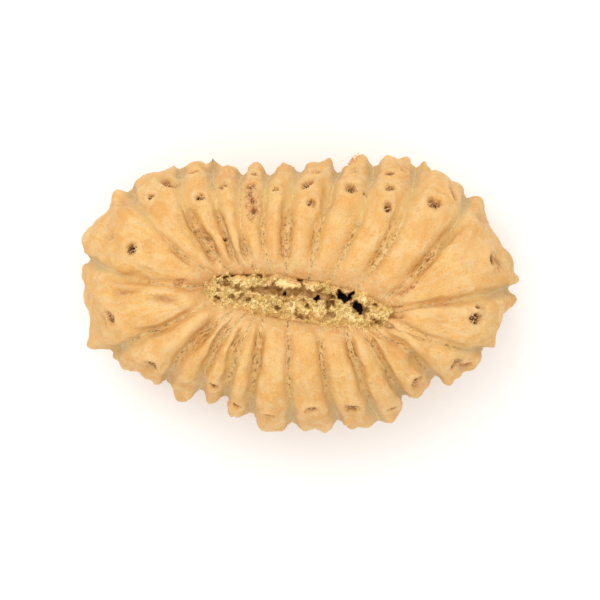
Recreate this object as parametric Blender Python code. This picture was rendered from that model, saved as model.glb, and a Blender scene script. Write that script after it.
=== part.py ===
"""Rudraksha seed: a ribbed stone that lies on one end, with dried fruit pulp in the slit at its upper end.

X runs along the stone's longest way, Y across it and Z through its two slits.
The table of grooves and the places of nodules, dents and pits are in millimetres, as seen from above.
"""
import math
import random

import bmesh
import bpy
import numpy as np
from mathutils import Vector
from mathutils.bvhtree import BVHTree

MM = 0.001

# The stone's meridian, in millimetres
UPPER_HEIGHT = 9.8  # from the widest level up to the crest round the upper slit
LOWER_HEIGHT = 9.6  # from the widest level down to the crest round the lower slit
MERIDIAN_POWER = 0.72  # below 1 makes the two ends flatter than an ellipsoid's
LIP_DROP = 2.0  # how far the ribs dip where they turn into a slit
LIP_REACH = 0.14  # how far out that dip is felt, as a share of the way to the widest level
RESTING_FLAT = 0.3  # how much of the lowest ribs is worn flat, which the stone rests on

# The ribs between the grooves, in millimetres
RIB_CROWN = 0.62  # how far a rib stands out from the grooves beside it, at the widest level
CROWN_AT_SLIT = 0.75  # the share of that height which a rib keeps close to a slit
CROWN_START = 0.13  # the share of the way out over which a rib rises from a slit's edge
RIB_TAPER = 0.35  # a rib's width near a slit as a share of its greatest width
GROOVE_BEVEL = 0.7  # the distance over which a groove's side rises
GROOVE_SHARPNESS = 1.5  # above 1 rounds the bottom of a groove
UNDER_SWIRL = 0.05  # how far the grooves of the underside bow sideways, as a share of their length
COLUMN_PITCH = 0.85  # spacing of the mesh round the widest level
LEAST_COLUMNS = 5  # columns of the mesh in the narrowest rib
ROWS = 30  # rows of the mesh from slit to slit
ROW_CROWDING = 0.3  # how much closer the rows lie at the widest level

# The two slits: centre, half length, half width and turn from above
UPPER_SLIT = {"x": -0.2, "y": -0.6, "half_length": 7.7, "half_width": 1.8, "turn": -9.0}
LOWER_SLIT = {"x": 0.4, "y": 0.1, "half_length": 5.6, "half_width": 1.1, "turn": 4.0}
# How a slit narrows with depth: depth, share of its length and share of its width
SLIT_STEPS = ((0.9, 0.98, 0.92), (2.4, 0.93, 0.6), (3.9, 0.86, 0.25))

# Each groove as seen from above: at the widest level, halfway, and at the upper slit
GROOVES = (
    ((17.7, 0.3), (12.3, -0.7), (7.8, -1.8)),
    ((14.0, 8.2), (11.2, 3.4), (6.9, -0.8)),
    ((9.6, 10.1), (8.0, 5.2), (4.9, 0.2)),
    ((6.2, 10.3), (4.7, 5.7), (2.8, 1.0)),
    ((3.2, 10.2), (1.8, 5.7), (0.8, 1.3)),
    ((0.0, 10.2), (-1.0, 5.9), (-1.2, 1.5)),
    ((-2.5, 10.0), (-3.0, 6.0), (-2.7, 1.7)),
    ((-4.8, 10.1), (-4.9, 5.9), (-4.1, 1.8)),
    ((-7.3, 10.3), (-6.6, 6.1), (-5.1, 1.8)),
    ((-9.9, 10.3), (-9.1, 6.1), (-6.4, 1.8)),
    ((-14.0, 8.4), (-11.3, 4.7), (-7.4, 1.4)),
    ((-17.6, 2.8), (-12.7, 0.9), (-7.8, 0.6)),
    ((-15.3, -4.7), (-11.8, -3.1), (-7.6, -0.5)),
    ((-11.0, -7.1), (-9.1, -4.3), (-6.8, -1.4)),
    ((-8.2, -8.0), (-7.1, -4.9), (-5.6, -1.8)),
    ((-6.2, -8.8), (-5.3, -5.4), (-4.3, -1.9)),
    ((-4.0, -10.1), (-3.7, -6.0), (-3.1, -1.9)),
    ((-0.7, -10.8), (-0.9, -6.5), (-1.0, -2.2)),
    ((3.1, -10.4), (1.9, -6.3), (1.4, -2.2)),
    ((6.3, -10.3), (4.7, -6.4), (3.5, -2.6)),
    ((8.6, -8.6), (6.5, -5.7), (5.2, -2.8)),
    ((11.2, -7.1), (8.6, -5.0), (6.4, -2.8)),
    ((15.2, -4.6), (11.2, -4.2), (7.3, -2.5)),
)

# Nodules and humps on the upper side: x, y, height and reach
NODULES = (
    (18.1, 2.0, 0.1, 1.1),
    (17.5, 0.9, 0.3, 0.8),
    (17.6, -0.5, 0.5, 0.9),
    (16.2, -4.4, 0.8, 0.9),
    (14.9, 7.9, 0.4, 1.1),
    (10.3, 10.8, 0.7, 1.0),
    (9.1, 11.5, 0.8, 0.9),
    (7.2, 11.4, 0.8, 0.9),
    (5.2, 11.7, 1.1, 1.0),
    (2.4, 11.0, 0.5, 0.8),
    (0.9, 11.0, 0.3, 0.9),
    (-0.8, 11.1, 0.3, 0.8),
    (-1.5, 10.9, 0.4, 0.7),
    (-3.6, 10.6, 0.3, 1.0),
    (-5.3, 10.5, 0.2, 0.8),
    (-7.3, 11.0, 0.7, 0.5),
    (-10.3, 10.7, 0.3, 0.8),
    (-13.0, 9.8, 0.2, 1.1),
    (-14.9, 8.5, 0.8, 1.0),
    (-17.8, 4.2, 0.8, 1.5),
    (-18.1, 2.0, 0.5, 0.9),
    (-18.1, -0.6, 0.5, 1.2),
    (-17.8, -2.6, 0.2, 1.2),
    (-17.5, -4.2, 1.3, 1.4),
    (-15.0, -5.8, 1.2, 1.1),
    (-11.8, -7.6, 0.6, 1.2),
    (-10.3, -8.1, 0.8, 0.9),
    (-9.2, -8.8, 0.8, 1.0),
    (-7.7, -8.8, 0.7, 0.8),
    (-6.8, -9.2, 0.2, 0.9),
    (-5.7, -9.9, 0.8, 0.8),
    (-4.9, -10.4, 0.6, 0.9),
    (-3.0, -11.4, 0.7, 1.0),
    (-1.4, -11.6, 0.7, 1.0),
    (0.5, -11.2, 0.3, 0.9),
    (2.1, -11.6, 0.9, 1.0),
    (4.4, -11.2, 0.6, 0.9),
    (5.9, -11.5, 0.5, 0.9),
    (7.4, -10.7, 0.7, 1.0),
    (8.7, -9.6, 0.5, 0.9),
    (9.6, -8.7, 0.5, 0.9),
    (11.0, -7.7, 0.2, 0.9),
    (12.3, -7.4, 0.6, 0.8),
    (13.4, -6.8, 0.2, 1.1),
    (15.0, -5.6, 0.3, 0.9),
    (14.2, 3.2, 0.5, 1.8),
    (-14.0, 6.2, 0.4, 1.8),
    (-15.0, -1.5, 0.4, 2.0),
    (14.6, -1.3, 0.5, 1.6),
)
OUTLINE_LEVEL = 68.0  # degrees from the upper slit past which a nodule belongs to the widest level
OUTLINE_SPREAD = 13.0  # degrees that such a nodule may lie above or below that level
OUTLINE_DENT_TALLNESS = 2.6  # how many times taller than wide a dent is at the widest level
BLUNTNESS = 2.4  # above 2 gives nodules and dents a flatter middle than a bell curve's

# Broad dents where neighbouring ribs part: x, y, depth and reach
DENTS = (
    (-8.0, 4.3, 0.8, 1.2),
    (-7.1, 5.6, 0.5, 1.0),
    (-8.8, 6.3, 0.6, 1.2),
    (7.8, -4.5, 0.9, 1.2),
    (9.6, -5.8, 0.7, 1.1),
    (-8.4, -3.6, 0.8, 1.1),
    (10.2, 1.6, 0.4, 1.6),
    (-13.4, 1.0, 0.4, 1.5),
    (11.8, -2.6, 0.5, 1.4),
    (17.0, -2.5, 1.3, 1.5),
    (12.4, 9.8, 0.7, 1.5),
    (-16.4, -5.2, 0.8, 0.7),
    (-13.4, -6.2, 0.5, 0.8),
    (16.1, 5.8, 0.6, 1.3),
    (-17.7, 0.8, 0.4, 0.6),
)

# Pits on the upper side: x, y, radius and depth
PITS = (
    (-13.9, 3.6, 0.42, 0.9),
    (-12.3, 8.0, 0.22, 0.5),
    (-10.9, 9.2, 0.6, 0.5),
    (-8.3, 7.8, 0.34, 0.7),
    (-8.7, 10.0, 0.4, 0.4),
    (-6.3, 8.8, 0.3, 0.5),
    (-4.1, 7.8, 0.42, 0.9),
    (-4.0, 9.0, 0.34, 0.7),
    (-3.8, 9.9, 0.28, 0.6),
    (0.5, 9.1, 0.4, 0.7),
    (0.9, 7.4, 0.38, 0.9),
    (1.1, 10.2, 0.5, 0.5),
    (4.2, 8.7, 0.44, 1.0),
    (4.4, 10.1, 0.26, 0.5),
    (7.4, 8.7, 0.36, 0.9),
    (7.2, 7.1, 0.4, 1.0),
    (7.3, 10.0, 0.28, 0.6),
    (11.1, 7.4, 0.5, 1.1),
    (12.7, 8.3, 0.34, 0.6),
    (15.9, 2.8, 0.4, 0.8),
    (14.4, -2.2, 0.46, 1.0),
    (13.0, -6.1, 0.42, 0.9),
    (9.7, -7.6, 0.36, 0.8),
    (7.7, -9.7, 0.3, 0.6),
    (4.2, -9.7, 0.44, 1.0),
    (0.9, -9.8, 0.36, 0.8),
    (-2.6, -10.2, 0.28, 0.7),
    (-5.3, -9.3, 0.3, 0.8),
    (-7.2, -7.7, 0.34, 0.4),
    (-12.4, -6.2, 0.36, 0.7),
    (-15.9, -2.2, 0.36, 0.8),
)

# Low humps over the shoulder and blunt nodules below the widest level, by one rule for every rib:
# degrees from the widest level, least and most height, least and most reach
HUMP_RULES = (
    (38.0, 0.1, 0.3, 1.0, 1.5),
    (18.0, 0.15, 0.4, 0.9, 1.4),
    (-23.0, 0.4, 0.75, 1.1, 1.5),
    (-43.0, 0.4, 0.7, 1.1, 1.6),
    (-60.0, 0.2, 0.4, 1.1, 1.5),
)
HUMP_LEVEL_DRIFT = 7.0  # degrees that each may lie from its level
HUMP_ACROSS = (0.3, 0.7)  # where it may lie across its rib
HUMP_SEED = 23

# Pits below the widest level, one to a rib, each driven in from a point outside
UNDER_PIT_RADIUS = (0.25, 0.42)
UNDER_PIT_DEPTH = 0.8
UNDER_PIT_HEIGHT = (-13.0, -3.0)  # the outside point's height
UNDER_PIT_SEED = 24
PIT_SIDES = 6
PIT_MOUTH = 1.15  # a pit's tapering plug is this many times its radius at its outer end
PIT_FLOOR = 0.45  # and this many times at its inner end
PIT_PROUD = 0.7  # it stands this many times its radius out of the surface, to cut cleanly
FAR_ABOVE = 40.0

# The dried pulp in the upper slit, in millimetres
PULP_GAP = 0.34  # between the pulp and the slit's wall
PULP_RISE = 0.3  # how far it stands above the slit's edge
PULP_THICKNESS = 1.7
PULP_STATIONS = 40
PULP_ACROSS = 8
PULP_LUMPS = 60
PULP_LUMP_REACH = (0.4, 0.8)
PULP_LUMP_HEIGHT = 0.5
PULP_SEED = 7
# Gaps in the pulp, along and across the slit from its middle: x, y, depth and reach
PULP_GAPS = (
    (-3.2, 0.1, 0.4, 0.5),
    (-2.2, 0.15, 0.5, 0.5),
    (-1.2, 0.2, 0.5, 0.5),
    (-0.2, 0.3, 0.6, 0.5),
    (0.9, 0.35, 0.5, 0.5),
    (3.7, 0.75, 1.3, 0.6),
    (4.5, 0.2, 1.1, 0.5),
    (5.2, 0.05, 1.2, 0.5),
)
PULP_DEEPEST_GAP = 1.25

STONE_COLOUR = (0.81, 0.49, 0.18, 1.0)
PULP_COLOUR = (0.52, 0.38, 0.11, 1.0)


def clear_scene():
    for obj in list(bpy.data.objects):
        bpy.data.objects.remove(obj, do_unlink=True)


def material(name, colour, roughness):
    made = bpy.data.materials.new(name)
    made.use_nodes = True
    shader = made.node_tree.nodes["Principled BSDF"]
    shader.inputs["Base Color"].default_value = colour
    shader.inputs["Roughness"].default_value = roughness
    shader.inputs["Metallic"].default_value = 0.0
    return made


def slit_point(slit, angle, along=1.0, across=1.0):
    """A point of a slit's ellipse in plan, which may be shortened and narrowed."""
    turn = math.radians(slit["turn"])
    local_x = slit["half_length"] * along * np.cos(angle)
    local_y = slit["half_width"] * across * np.sin(angle)
    x = slit["x"] + local_x * math.cos(turn) - local_y * math.sin(turn)
    y = slit["y"] + local_x * math.sin(turn) + local_y * math.cos(turn)
    return np.stack([x, y], axis=-1)


def slit_angle(slit, x, y):
    """The ellipse angle at which a plan point meets a slit's edge."""
    turn = math.radians(slit["turn"])
    local_x = (x - slit["x"]) * math.cos(turn) + (y - slit["y"]) * math.sin(turn)
    local_y = -(x - slit["x"]) * math.sin(turn) + (y - slit["y"]) * math.cos(turn)
    return math.atan2(local_y / slit["half_width"], local_x / slit["half_length"])


def round_loop(values, places):
    """Values at the grooves, carried smoothly round the closed loop of ribs to any place."""
    count = len(values)
    first = np.floor(places).astype(int)
    t = (places - first)[:, None]
    before, start, end, after = (values[(first + step) % count] for step in (-1, 0, 1, 2))
    return 0.5 * (
        2 * start
        + (end - before) * t
        + (2 * before - 5 * start + 4 * end - after) * t**2
        + (3 * start - before - 3 * end + after) * t**3
    )


def rib_places(outer):
    """Places round the loop of ribs, evenly spaced in each rib, with a whole number at each groove."""
    places = []
    for rib, start in enumerate(outer):
        width = np.linalg.norm(outer[(rib + 1) % len(outer)] - start)
        columns = max(LEAST_COLUMNS, round(width / COLUMN_PITCH))
        places.extend(rib + np.arange(columns) / columns)
    return np.array(places)


def loop_angles(slit, places, inner):
    """The slit's angle at each place, growing steadily all the way round."""
    angles = np.unwrap([slit_angle(slit, x, y) for x, y in inner])
    closed = np.append(angles, angles[0] + 2 * math.pi)
    return np.interp(places, np.arange(len(closed)), closed)


def meridians(places):
    """Smooth grids of points from the upper slit's edge down to the lower one's, and their normals."""
    table = np.array(GROOVES)
    outer, middle, inner = table[:, 0], table[:, 1], table[:, 2]
    rim = round_loop(outer, places)
    halfway = round_loop(middle, places)
    top = slit_point(UPPER_SLIT, loop_angles(UPPER_SLIT, places, inner))
    bottom = slit_point(LOWER_SLIT, loop_angles(LOWER_SLIT, places, inner))
    bend_above = 2 * halfway - (rim + top) / 2
    reach = rim - bottom
    bend_below = (rim + bottom) / 2 + UNDER_SWIRL * np.column_stack([-reach[:, 1], reach[:, 0]])

    steps = np.arange(ROWS) / (ROWS - 1)
    levels = math.pi * steps + ROW_CROWDING * np.sin(2 * math.pi * steps) / 2
    rows = []
    for level in levels:
        out = math.sin(level)
        rise = abs(math.cos(level)) ** MERIDIAN_POWER
        above = level < math.pi / 2
        slit, bend = (top, bend_above) if above else (bottom, bend_below)
        plan = (1 - out) ** 2 * slit + 2 * out * (1 - out) * bend + out**2 * rim
        dip = LIP_DROP * math.exp(-out / LIP_REACH)
        height = UPPER_HEIGHT * rise - dip if above else dip - LOWER_HEIGHT * rise
        rows.append(np.column_stack([plan, np.full(len(plan), height)]))
    grid = np.array(rows)
    along = np.roll(grid, -1, axis=1) - np.roll(grid, 1, axis=1)
    down = np.gradient(grid, axis=0)
    normal = np.cross(down, along)
    normal /= np.linalg.norm(normal, axis=2, keepdims=True)
    return grid, normal, levels


def rib_relief(places, outer, levels):
    """How far the ribs stand out of the grooves, from nothing at the slits to most at the widest level."""
    rib = np.floor(places).astype(int)
    widths = np.linalg.norm(np.roll(outer, -1, axis=0) - outer, axis=1)[rib]
    across = places - rib
    from_groove = np.minimum(across, 1 - across)[None, :]
    out = np.sin(levels)[:, None]
    breadth = widths * (RIB_TAPER + (1 - RIB_TAPER) * out)
    bevel = 1 - np.exp(-((from_groove * breadth / GROOVE_BEVEL) ** GROOVE_SHARPNESS))
    strength = np.minimum(1.0, out / CROWN_START) * (CROWN_AT_SLIT + (1 - CROWN_AT_SLIT) * out)
    return RIB_CROWN * bevel * strength


def add_features(grid, normal, places, levels, relief):
    """The grid with ribs, nodules and dents raised and sunk along the surface's normals."""
    degrees = np.degrees(levels)
    upper = grid[degrees <= 90.0]
    amount = relief.copy()
    draw = random.Random(HUMP_SEED)

    def raise_round(centre, height, reach, tallness=1.0):
        distance = np.linalg.norm((grid - centre) / (1.0, 1.0, tallness), axis=2) / reach
        amount[:] += height * np.exp(-(distance**BLUNTNESS))

    def seen_from_above(x, y):
        away = np.linalg.norm(upper[..., :2] - (x, y), axis=2)
        return np.unravel_index(np.argmin(away), away.shape)

    def row_at(level):
        return np.argmin(np.abs(degrees - level))

    for x, y, height, reach in NODULES:
        row, column = seen_from_above(x, y)
        if degrees[row] > OUTLINE_LEVEL:
            row = row_at(90.0 + draw.uniform(-OUTLINE_SPREAD, OUTLINE_SPREAD))
        raise_round(grid[row, column], height, reach)
    for x, y, depth, reach in DENTS:
        row, column = seen_from_above(x, y)
        tallness = OUTLINE_DENT_TALLNESS if degrees[row] > OUTLINE_LEVEL else 1.0
        raise_round(grid[row, column], -depth, reach, tallness)
    for rib in range(len(GROOVES)):
        for level, low, high, near, far in HUMP_RULES:
            column = np.argmin(np.abs(places - rib - draw.uniform(*HUMP_ACROSS)))
            row = row_at(90.0 - level + draw.uniform(-HUMP_LEVEL_DRIFT, HUMP_LEVEL_DRIFT))
            raise_round(grid[row, column], draw.uniform(low, high), draw.uniform(near, far))
    return grid + normal * amount[..., None]


def slit_walls(slit, places, edge_height, sign):
    """Rows of points down a slit's narrowing walls, from under its edge to its blind floor."""
    inner = np.array(GROOVES)[:, 2]
    angles = loop_angles(slit, places, inner)
    rows = []
    for depth, along, across in SLIT_STEPS:
        plan = slit_point(slit, angles, along, across)
        height = np.full(len(places), edge_height - sign * depth)
        rows.append(np.column_stack([plan, height]))
    return rows


def closed_mesh(rows):
    """A mesh of rings of quads, closed by a flat face at each end."""
    mesh = bmesh.new()
    rings = [[mesh.verts.new(point) for point in row] for row in rows]
    count = len(rings[0])
    for upper, lower in zip(rings, rings[1:]):
        for k in range(count):
            after = (k + 1) % count
            mesh.faces.new((upper[k], lower[k], lower[after], upper[after]))
    mesh.faces.new(rings[0])
    mesh.faces.new(reversed(rings[-1]))
    bmesh.ops.triangulate(mesh, faces=mesh.faces[:])
    bmesh.ops.recalc_face_normals(mesh, faces=mesh.faces[:])
    return mesh


def stone_mesh():
    outer = np.array(GROOVES)[:, 0]
    places = rib_places(outer)
    grid, normal, levels = meridians(places)
    shaped = add_features(grid, normal, places, levels, rib_relief(places, outer, levels))
    shaped[0], shaped[-1] = grid[0], grid[-1]
    floor = shaped[..., 2].min() + RESTING_FLAT
    shaped[..., 2] = np.maximum(shaped[..., 2], floor)
    top = slit_walls(UPPER_SLIT, places, grid[0, 0, 2], 1)
    bottom = slit_walls(LOWER_SLIT, places, grid[-1, 0, 2], -1)
    rows = top[::-1] + list(shaped) + bottom
    return closed_mesh(rows), floor, grid[0, 0, 2]


def pit_cutter(mesh):
    """One mesh of small tapering six-sided plugs, each driven into the surface where a pit is."""
    tree = BVHTree.FromBMesh(mesh)
    plugs = bmesh.new()

    def add_plug(point, normal, radius, depth):
        base = normal.to_track_quat("Z", "Y").to_matrix().to_4x4()
        proud = PIT_PROUD * radius
        base.translation = point + normal * (proud - depth) / 2
        bmesh.ops.create_cone(
            plugs, cap_ends=True, segments=PIT_SIDES, radius1=radius * PIT_FLOOR, radius2=radius * PIT_MOUTH,
            depth=depth + proud, matrix=base,
        )

    for x, y, radius, depth in PITS:
        point, normal, _, _ = tree.ray_cast(Vector((x, y, FAR_ABOVE)), Vector((0.0, 0.0, -1.0)))
        add_plug(point, normal, radius, depth)
    draw = random.Random(UNDER_PIT_SEED)
    outer = np.array(GROOVES)[:, 0]
    for rib in range(len(GROOVES)):
        middle = (outer[rib] + outer[(rib + 1) % len(outer)]) / 2
        start = Vector((middle[0] * 1.6, middle[1] * 1.6, draw.uniform(*UNDER_PIT_HEIGHT)))
        aim = Vector((middle[0] * 0.2, middle[1] * 0.2, -2.0))
        point, normal, _, _ = tree.ray_cast(start, (aim - start).normalized())
        add_plug(point, normal, draw.uniform(*UNDER_PIT_RADIUS), UNDER_PIT_DEPTH)
    return plugs


def pulp_lumps(length, width):
    """Seeded lumps, as places along and across the slit and their reach."""
    draw = random.Random(PULP_SEED)
    for _ in range(PULP_LUMPS):
        turn = draw.uniform(0.0, 2 * math.pi)
        out = math.sqrt(draw.random())
        yield length * out * math.cos(turn), width * out * math.sin(turn), draw.uniform(*PULP_LUMP_REACH)


def pulp_mesh(edge_height):
    """A lumpy filling of dried pulp that fits the upper slit with a small gap all round."""
    slit = UPPER_SLIT
    length = slit["half_length"] - PULP_GAP
    width = slit["half_width"] - PULP_GAP
    turn = math.radians(slit["turn"])
    lumps = list(pulp_lumps(length, width))

    def top_height(x, y, across):
        lump = max(math.exp(-1.5 * (math.hypot(x - u, y - v) / reach) ** 2) for u, v, reach in lumps)
        gap = sum(
            depth * math.exp(-((math.hypot(x - u, y - v) / reach) ** 2)) for u, v, depth, reach in PULP_GAPS
        )
        rounding = 0.5 * abs(across) ** 4
        return PULP_RISE + PULP_LUMP_HEIGHT * (lump - 0.6) - min(gap, PULP_DEEPEST_GAP) - rounding

    def place(x, y, height):
        world_x = slit["x"] + x * math.cos(turn) - y * math.sin(turn)
        world_y = slit["y"] + x * math.sin(turn) + y * math.cos(turn)
        return (world_x, world_y, edge_height + height)

    rings = []
    for station in range(1, PULP_STATIONS):
        angle = math.pi * station / PULP_STATIONS
        x, half = -length * math.cos(angle), width * math.sin(angle)
        ring = []
        for step in range(PULP_ACROSS + 1):
            across = 2 * step / PULP_ACROSS - 1
            ring.append(place(x, half * across, top_height(x, half * across, across)))
        for across, share in ((0.78, 0.9), (0.0, 1.0), (-0.78, 0.9)):
            ring.append(place(0.95 * x, half * across * 0.9, -PULP_THICKNESS * share))
        rings.append(ring)

    mesh = bmesh.new()
    rings = [[mesh.verts.new(point) for point in ring] for ring in rings]
    count = len(rings[0])
    for ring, following in zip(rings, rings[1:]):
        for k in range(count):
            after = (k + 1) % count
            mesh.faces.new((ring[k], ring[after], following[after], following[k]))
    mesh.faces.new(rings[0])
    mesh.faces.new(reversed(rings[-1]))
    bmesh.ops.triangulate(mesh, faces=mesh.faces[:])
    bmesh.ops.recalc_face_normals(mesh, faces=mesh.faces[:])
    return mesh


def add_object(name, mesh, made, shift):
    """An object whose millimetre mesh is moved by shift and brought to metres."""
    bmesh.ops.translate(mesh, verts=mesh.verts[:], vec=shift)
    bmesh.ops.scale(mesh, verts=mesh.verts[:], vec=(MM, MM, MM))
    data = bpy.data.meshes.new(name)
    mesh.to_mesh(data)
    mesh.free()
    obj = bpy.data.objects.new(name, data)
    bpy.context.collection.objects.link(obj)
    if made is not None:
        data.materials.append(made)
    data.shade_smooth()
    data.set_sharp_from_angle(angle=math.radians(50))
    return obj


def build_seed():
    stone, floor, edge_height = stone_mesh()
    corners = [Vector([pick(v.co[axis] for v in stone.verts) for axis in range(3)]) for pick in (min, max)]
    middle = (corners[0] + corners[1]) / 2
    shift = Vector((-middle.x, -middle.y, -floor))
    plugs = pit_cutter(stone)
    pulp = pulp_mesh(edge_height)

    body = add_object("stone", stone, material("stone_bone_tan", STONE_COLOUR, 0.62), shift)
    cutter = add_object("pit_cutter", plugs, None, shift)
    cutter.hide_render = True
    cutter.display_type = "WIRE"
    pits = body.modifiers.new("pits", "BOOLEAN")
    pits.operation = "DIFFERENCE"
    pits.solver = "EXACT"
    pits.object = cutter
    add_object("dried_pulp", pulp, material("dried_pulp_olive", PULP_COLOUR, 0.85), shift)


clear_scene()
build_seed()
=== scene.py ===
# %% [markdown]
# # A rudraksha seed
# A rudraksha is the hard, ribbed stone of a fruit. This one is long and oval, lies on one end, and is seen
# from above: its ribs run out from a slit that is full of dried, crumbly fruit pulp. The lesson dresses the
# plain solids of the frame with a fine surface, a procedural skin, crumbs and fibres. The frame is loaded
# first, because every size below is measured from it or belongs to the same design.

# %% Load the frame
import math
import random

import bmesh
import bpy
import numpy as np
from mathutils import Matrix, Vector
from mathutils.bvhtree import BVHTree


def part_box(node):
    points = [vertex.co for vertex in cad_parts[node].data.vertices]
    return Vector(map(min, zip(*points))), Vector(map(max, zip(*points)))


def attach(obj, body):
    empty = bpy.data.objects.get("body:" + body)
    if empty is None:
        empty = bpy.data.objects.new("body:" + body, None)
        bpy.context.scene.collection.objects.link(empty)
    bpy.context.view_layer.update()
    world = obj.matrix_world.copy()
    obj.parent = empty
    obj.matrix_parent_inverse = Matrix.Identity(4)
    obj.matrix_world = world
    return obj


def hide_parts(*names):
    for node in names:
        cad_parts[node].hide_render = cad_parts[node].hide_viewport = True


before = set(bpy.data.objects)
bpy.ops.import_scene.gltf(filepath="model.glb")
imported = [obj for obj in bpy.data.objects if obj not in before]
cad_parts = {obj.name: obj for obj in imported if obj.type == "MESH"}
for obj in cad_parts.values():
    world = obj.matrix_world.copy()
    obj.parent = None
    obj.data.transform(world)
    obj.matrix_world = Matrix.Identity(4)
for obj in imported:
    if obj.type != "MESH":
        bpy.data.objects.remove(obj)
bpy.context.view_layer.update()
MM = 0.001

# %% [markdown]
# ## The design's own sizes
# The stone is drawn by its grooves, because the eye reads a rudraksha by them. Each groove is three places
# seen from above: where it crosses the widest level, halfway, and where it meets the slit. The places repeat
# the ones that the solids were made from, in millimetres, so the fine surface lies on the plain one. A slit
# is an oval with a middle, two half sizes and a turn in degrees. Its wall goes down in steps, each a depth
# with the shares of the length and of the width that are left there.

# %% Grooves and slits
UPPER_HEIGHT = 9.8
LOWER_HEIGHT = 9.6
MERIDIAN_POWER = 0.72
LIP_DROP = 2.0
LIP_REACH = 0.14
UNDER_SWIRL = 0.05
RIB_TAPER = 0.35
UPPER_SLIT = {"x": -0.2, "y": -0.6, "half_length": 7.7, "half_width": 1.8, "turn": -9.0}
LOWER_SLIT = {"x": 0.4, "y": 0.1, "half_length": 5.6, "half_width": 1.1, "turn": 4.0}
SLIT_STEPS = ((0.3, 0.995, 0.98), (0.9, 0.98, 0.92), (2.4, 0.93, 0.6), (3.9, 0.86, 0.25))
GROOVES = np.array((
    ((17.7, 0.3), (12.3, -0.7), (7.8, -1.8)),
    ((14.0, 8.2), (11.2, 3.4), (6.9, -0.8)),
    ((9.6, 10.1), (8.0, 5.2), (4.9, 0.2)),
    ((6.2, 10.3), (4.7, 5.7), (2.8, 1.0)),
    ((3.2, 10.2), (1.8, 5.7), (0.8, 1.3)),
    ((0.0, 10.2), (-1.0, 5.9), (-1.2, 1.5)),
    ((-2.5, 10.0), (-3.0, 6.0), (-2.7, 1.7)),
    ((-4.8, 10.1), (-4.9, 5.9), (-4.1, 1.8)),
    ((-7.3, 10.3), (-6.6, 6.1), (-5.1, 1.8)),
    ((-9.9, 10.3), (-9.1, 6.1), (-6.4, 1.8)),
    ((-14.0, 8.4), (-11.3, 4.7), (-7.4, 1.4)),
    ((-17.6, 2.8), (-12.7, 0.9), (-7.8, 0.6)),
    ((-15.3, -4.7), (-11.8, -3.1), (-7.6, -0.5)),
    ((-11.0, -7.1), (-9.1, -4.3), (-6.8, -1.4)),
    ((-8.2, -8.0), (-7.1, -4.9), (-5.6, -1.8)),
    ((-6.2, -8.8), (-5.3, -5.4), (-4.3, -1.9)),
    ((-4.0, -10.1), (-3.7, -6.0), (-3.1, -1.9)),
    ((-0.7, -10.8), (-0.9, -6.5), (-1.0, -2.2)),
    ((3.1, -10.4), (1.9, -6.3), (1.4, -2.2)),
    ((6.3, -10.3), (4.7, -6.4), (3.5, -2.6)),
    ((8.6, -8.6), (6.5, -5.7), (5.2, -2.8)),
    ((11.2, -7.1), (8.6, -5.0), (6.4, -2.8)),
    ((15.2, -4.6), (11.2, -4.2), (7.3, -2.5)),
))
RIBS = len(GROOVES)
print(RIBS, "ribs")

# %% [markdown]
# ## Nodules, dents and the outline
# The outer half of each rib is rough with blunt nodules, and dents lie between them. They could be sculpted
# with a brush, but as named places they can be checked one by one against a real stone. A row is a place
# seen from above in millimetres, a height or depth, and a reach. A row close to the outline goes near the
# widest level, where it shows. Trims only pull the outline in or, with a minus, push it out.

# %% Places of nodules and dents
NODULES = (
    (18.1, 2.0, 0.1, 1.1), (17.5, 0.9, 0.3, 0.8), (17.6, -0.5, 0.5, 0.9), (16.2, -4.4, 0.8, 0.9),
    (14.9, 7.9, 0.4, 1.1), (10.3, 10.8, 0.7, 1.0), (9.1, 11.5, 0.8, 0.9), (7.2, 11.4, 0.8, 0.9),
    (5.2, 11.7, 1.1, 1.0), (2.4, 11.0, 0.5, 0.8), (0.9, 11.0, 0.3, 0.9), (-0.8, 11.1, 0.3, 0.8),
    (-1.5, 10.9, 0.4, 0.7), (-3.6, 10.6, 0.3, 1.0), (-5.3, 10.5, 0.2, 0.8), (-7.3, 11.0, 0.7, 0.5),
    (-10.3, 10.7, 0.3, 0.8), (-13.0, 9.8, 0.2, 1.1), (-14.9, 8.5, 0.8, 1.0), (-17.8, 4.2, 0.8, 1.5),
    (-18.1, 2.0, 0.5, 0.9), (-18.1, -0.6, 0.5, 1.2), (-17.8, -2.6, 0.2, 1.2), (-17.5, -4.2, 1.3, 1.4),
    (-15.0, -5.8, 0.6, 0.9), (-11.8, -7.6, 0.6, 1.2), (-10.3, -8.1, 0.8, 0.9), (-9.2, -8.8, 0.8, 1.0),
    (-7.7, -8.8, 0.7, 0.8), (-6.8, -9.2, 0.2, 0.9), (-5.7, -9.9, 0.8, 0.8), (-4.9, -10.4, 0.6, 0.9),
    (-3.0, -11.4, 0.7, 1.0), (-1.4, -11.6, 0.7, 1.0), (0.5, -11.2, 0.3, 0.9), (2.1, -11.6, 0.8, 1.2),
    (4.4, -11.2, 0.6, 0.9), (5.9, -11.5, 0.5, 0.9), (7.4, -10.7, 0.7, 1.0), (8.7, -9.6, 0.5, 0.9),
    (9.6, -8.7, 0.5, 0.9), (11.0, -7.7, 0.2, 0.9), (12.3, -7.4, 0.6, 0.8), (13.4, -6.8, 0.2, 1.1),
    (15.0, -5.6, 0.3, 0.9), (14.2, 3.2, 0.5, 1.8), (-14.0, 6.2, 0.4, 1.8), (-15.0, -1.5, 0.4, 2.0),
    (14.6, -1.3, 0.5, 1.6),
)
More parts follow.
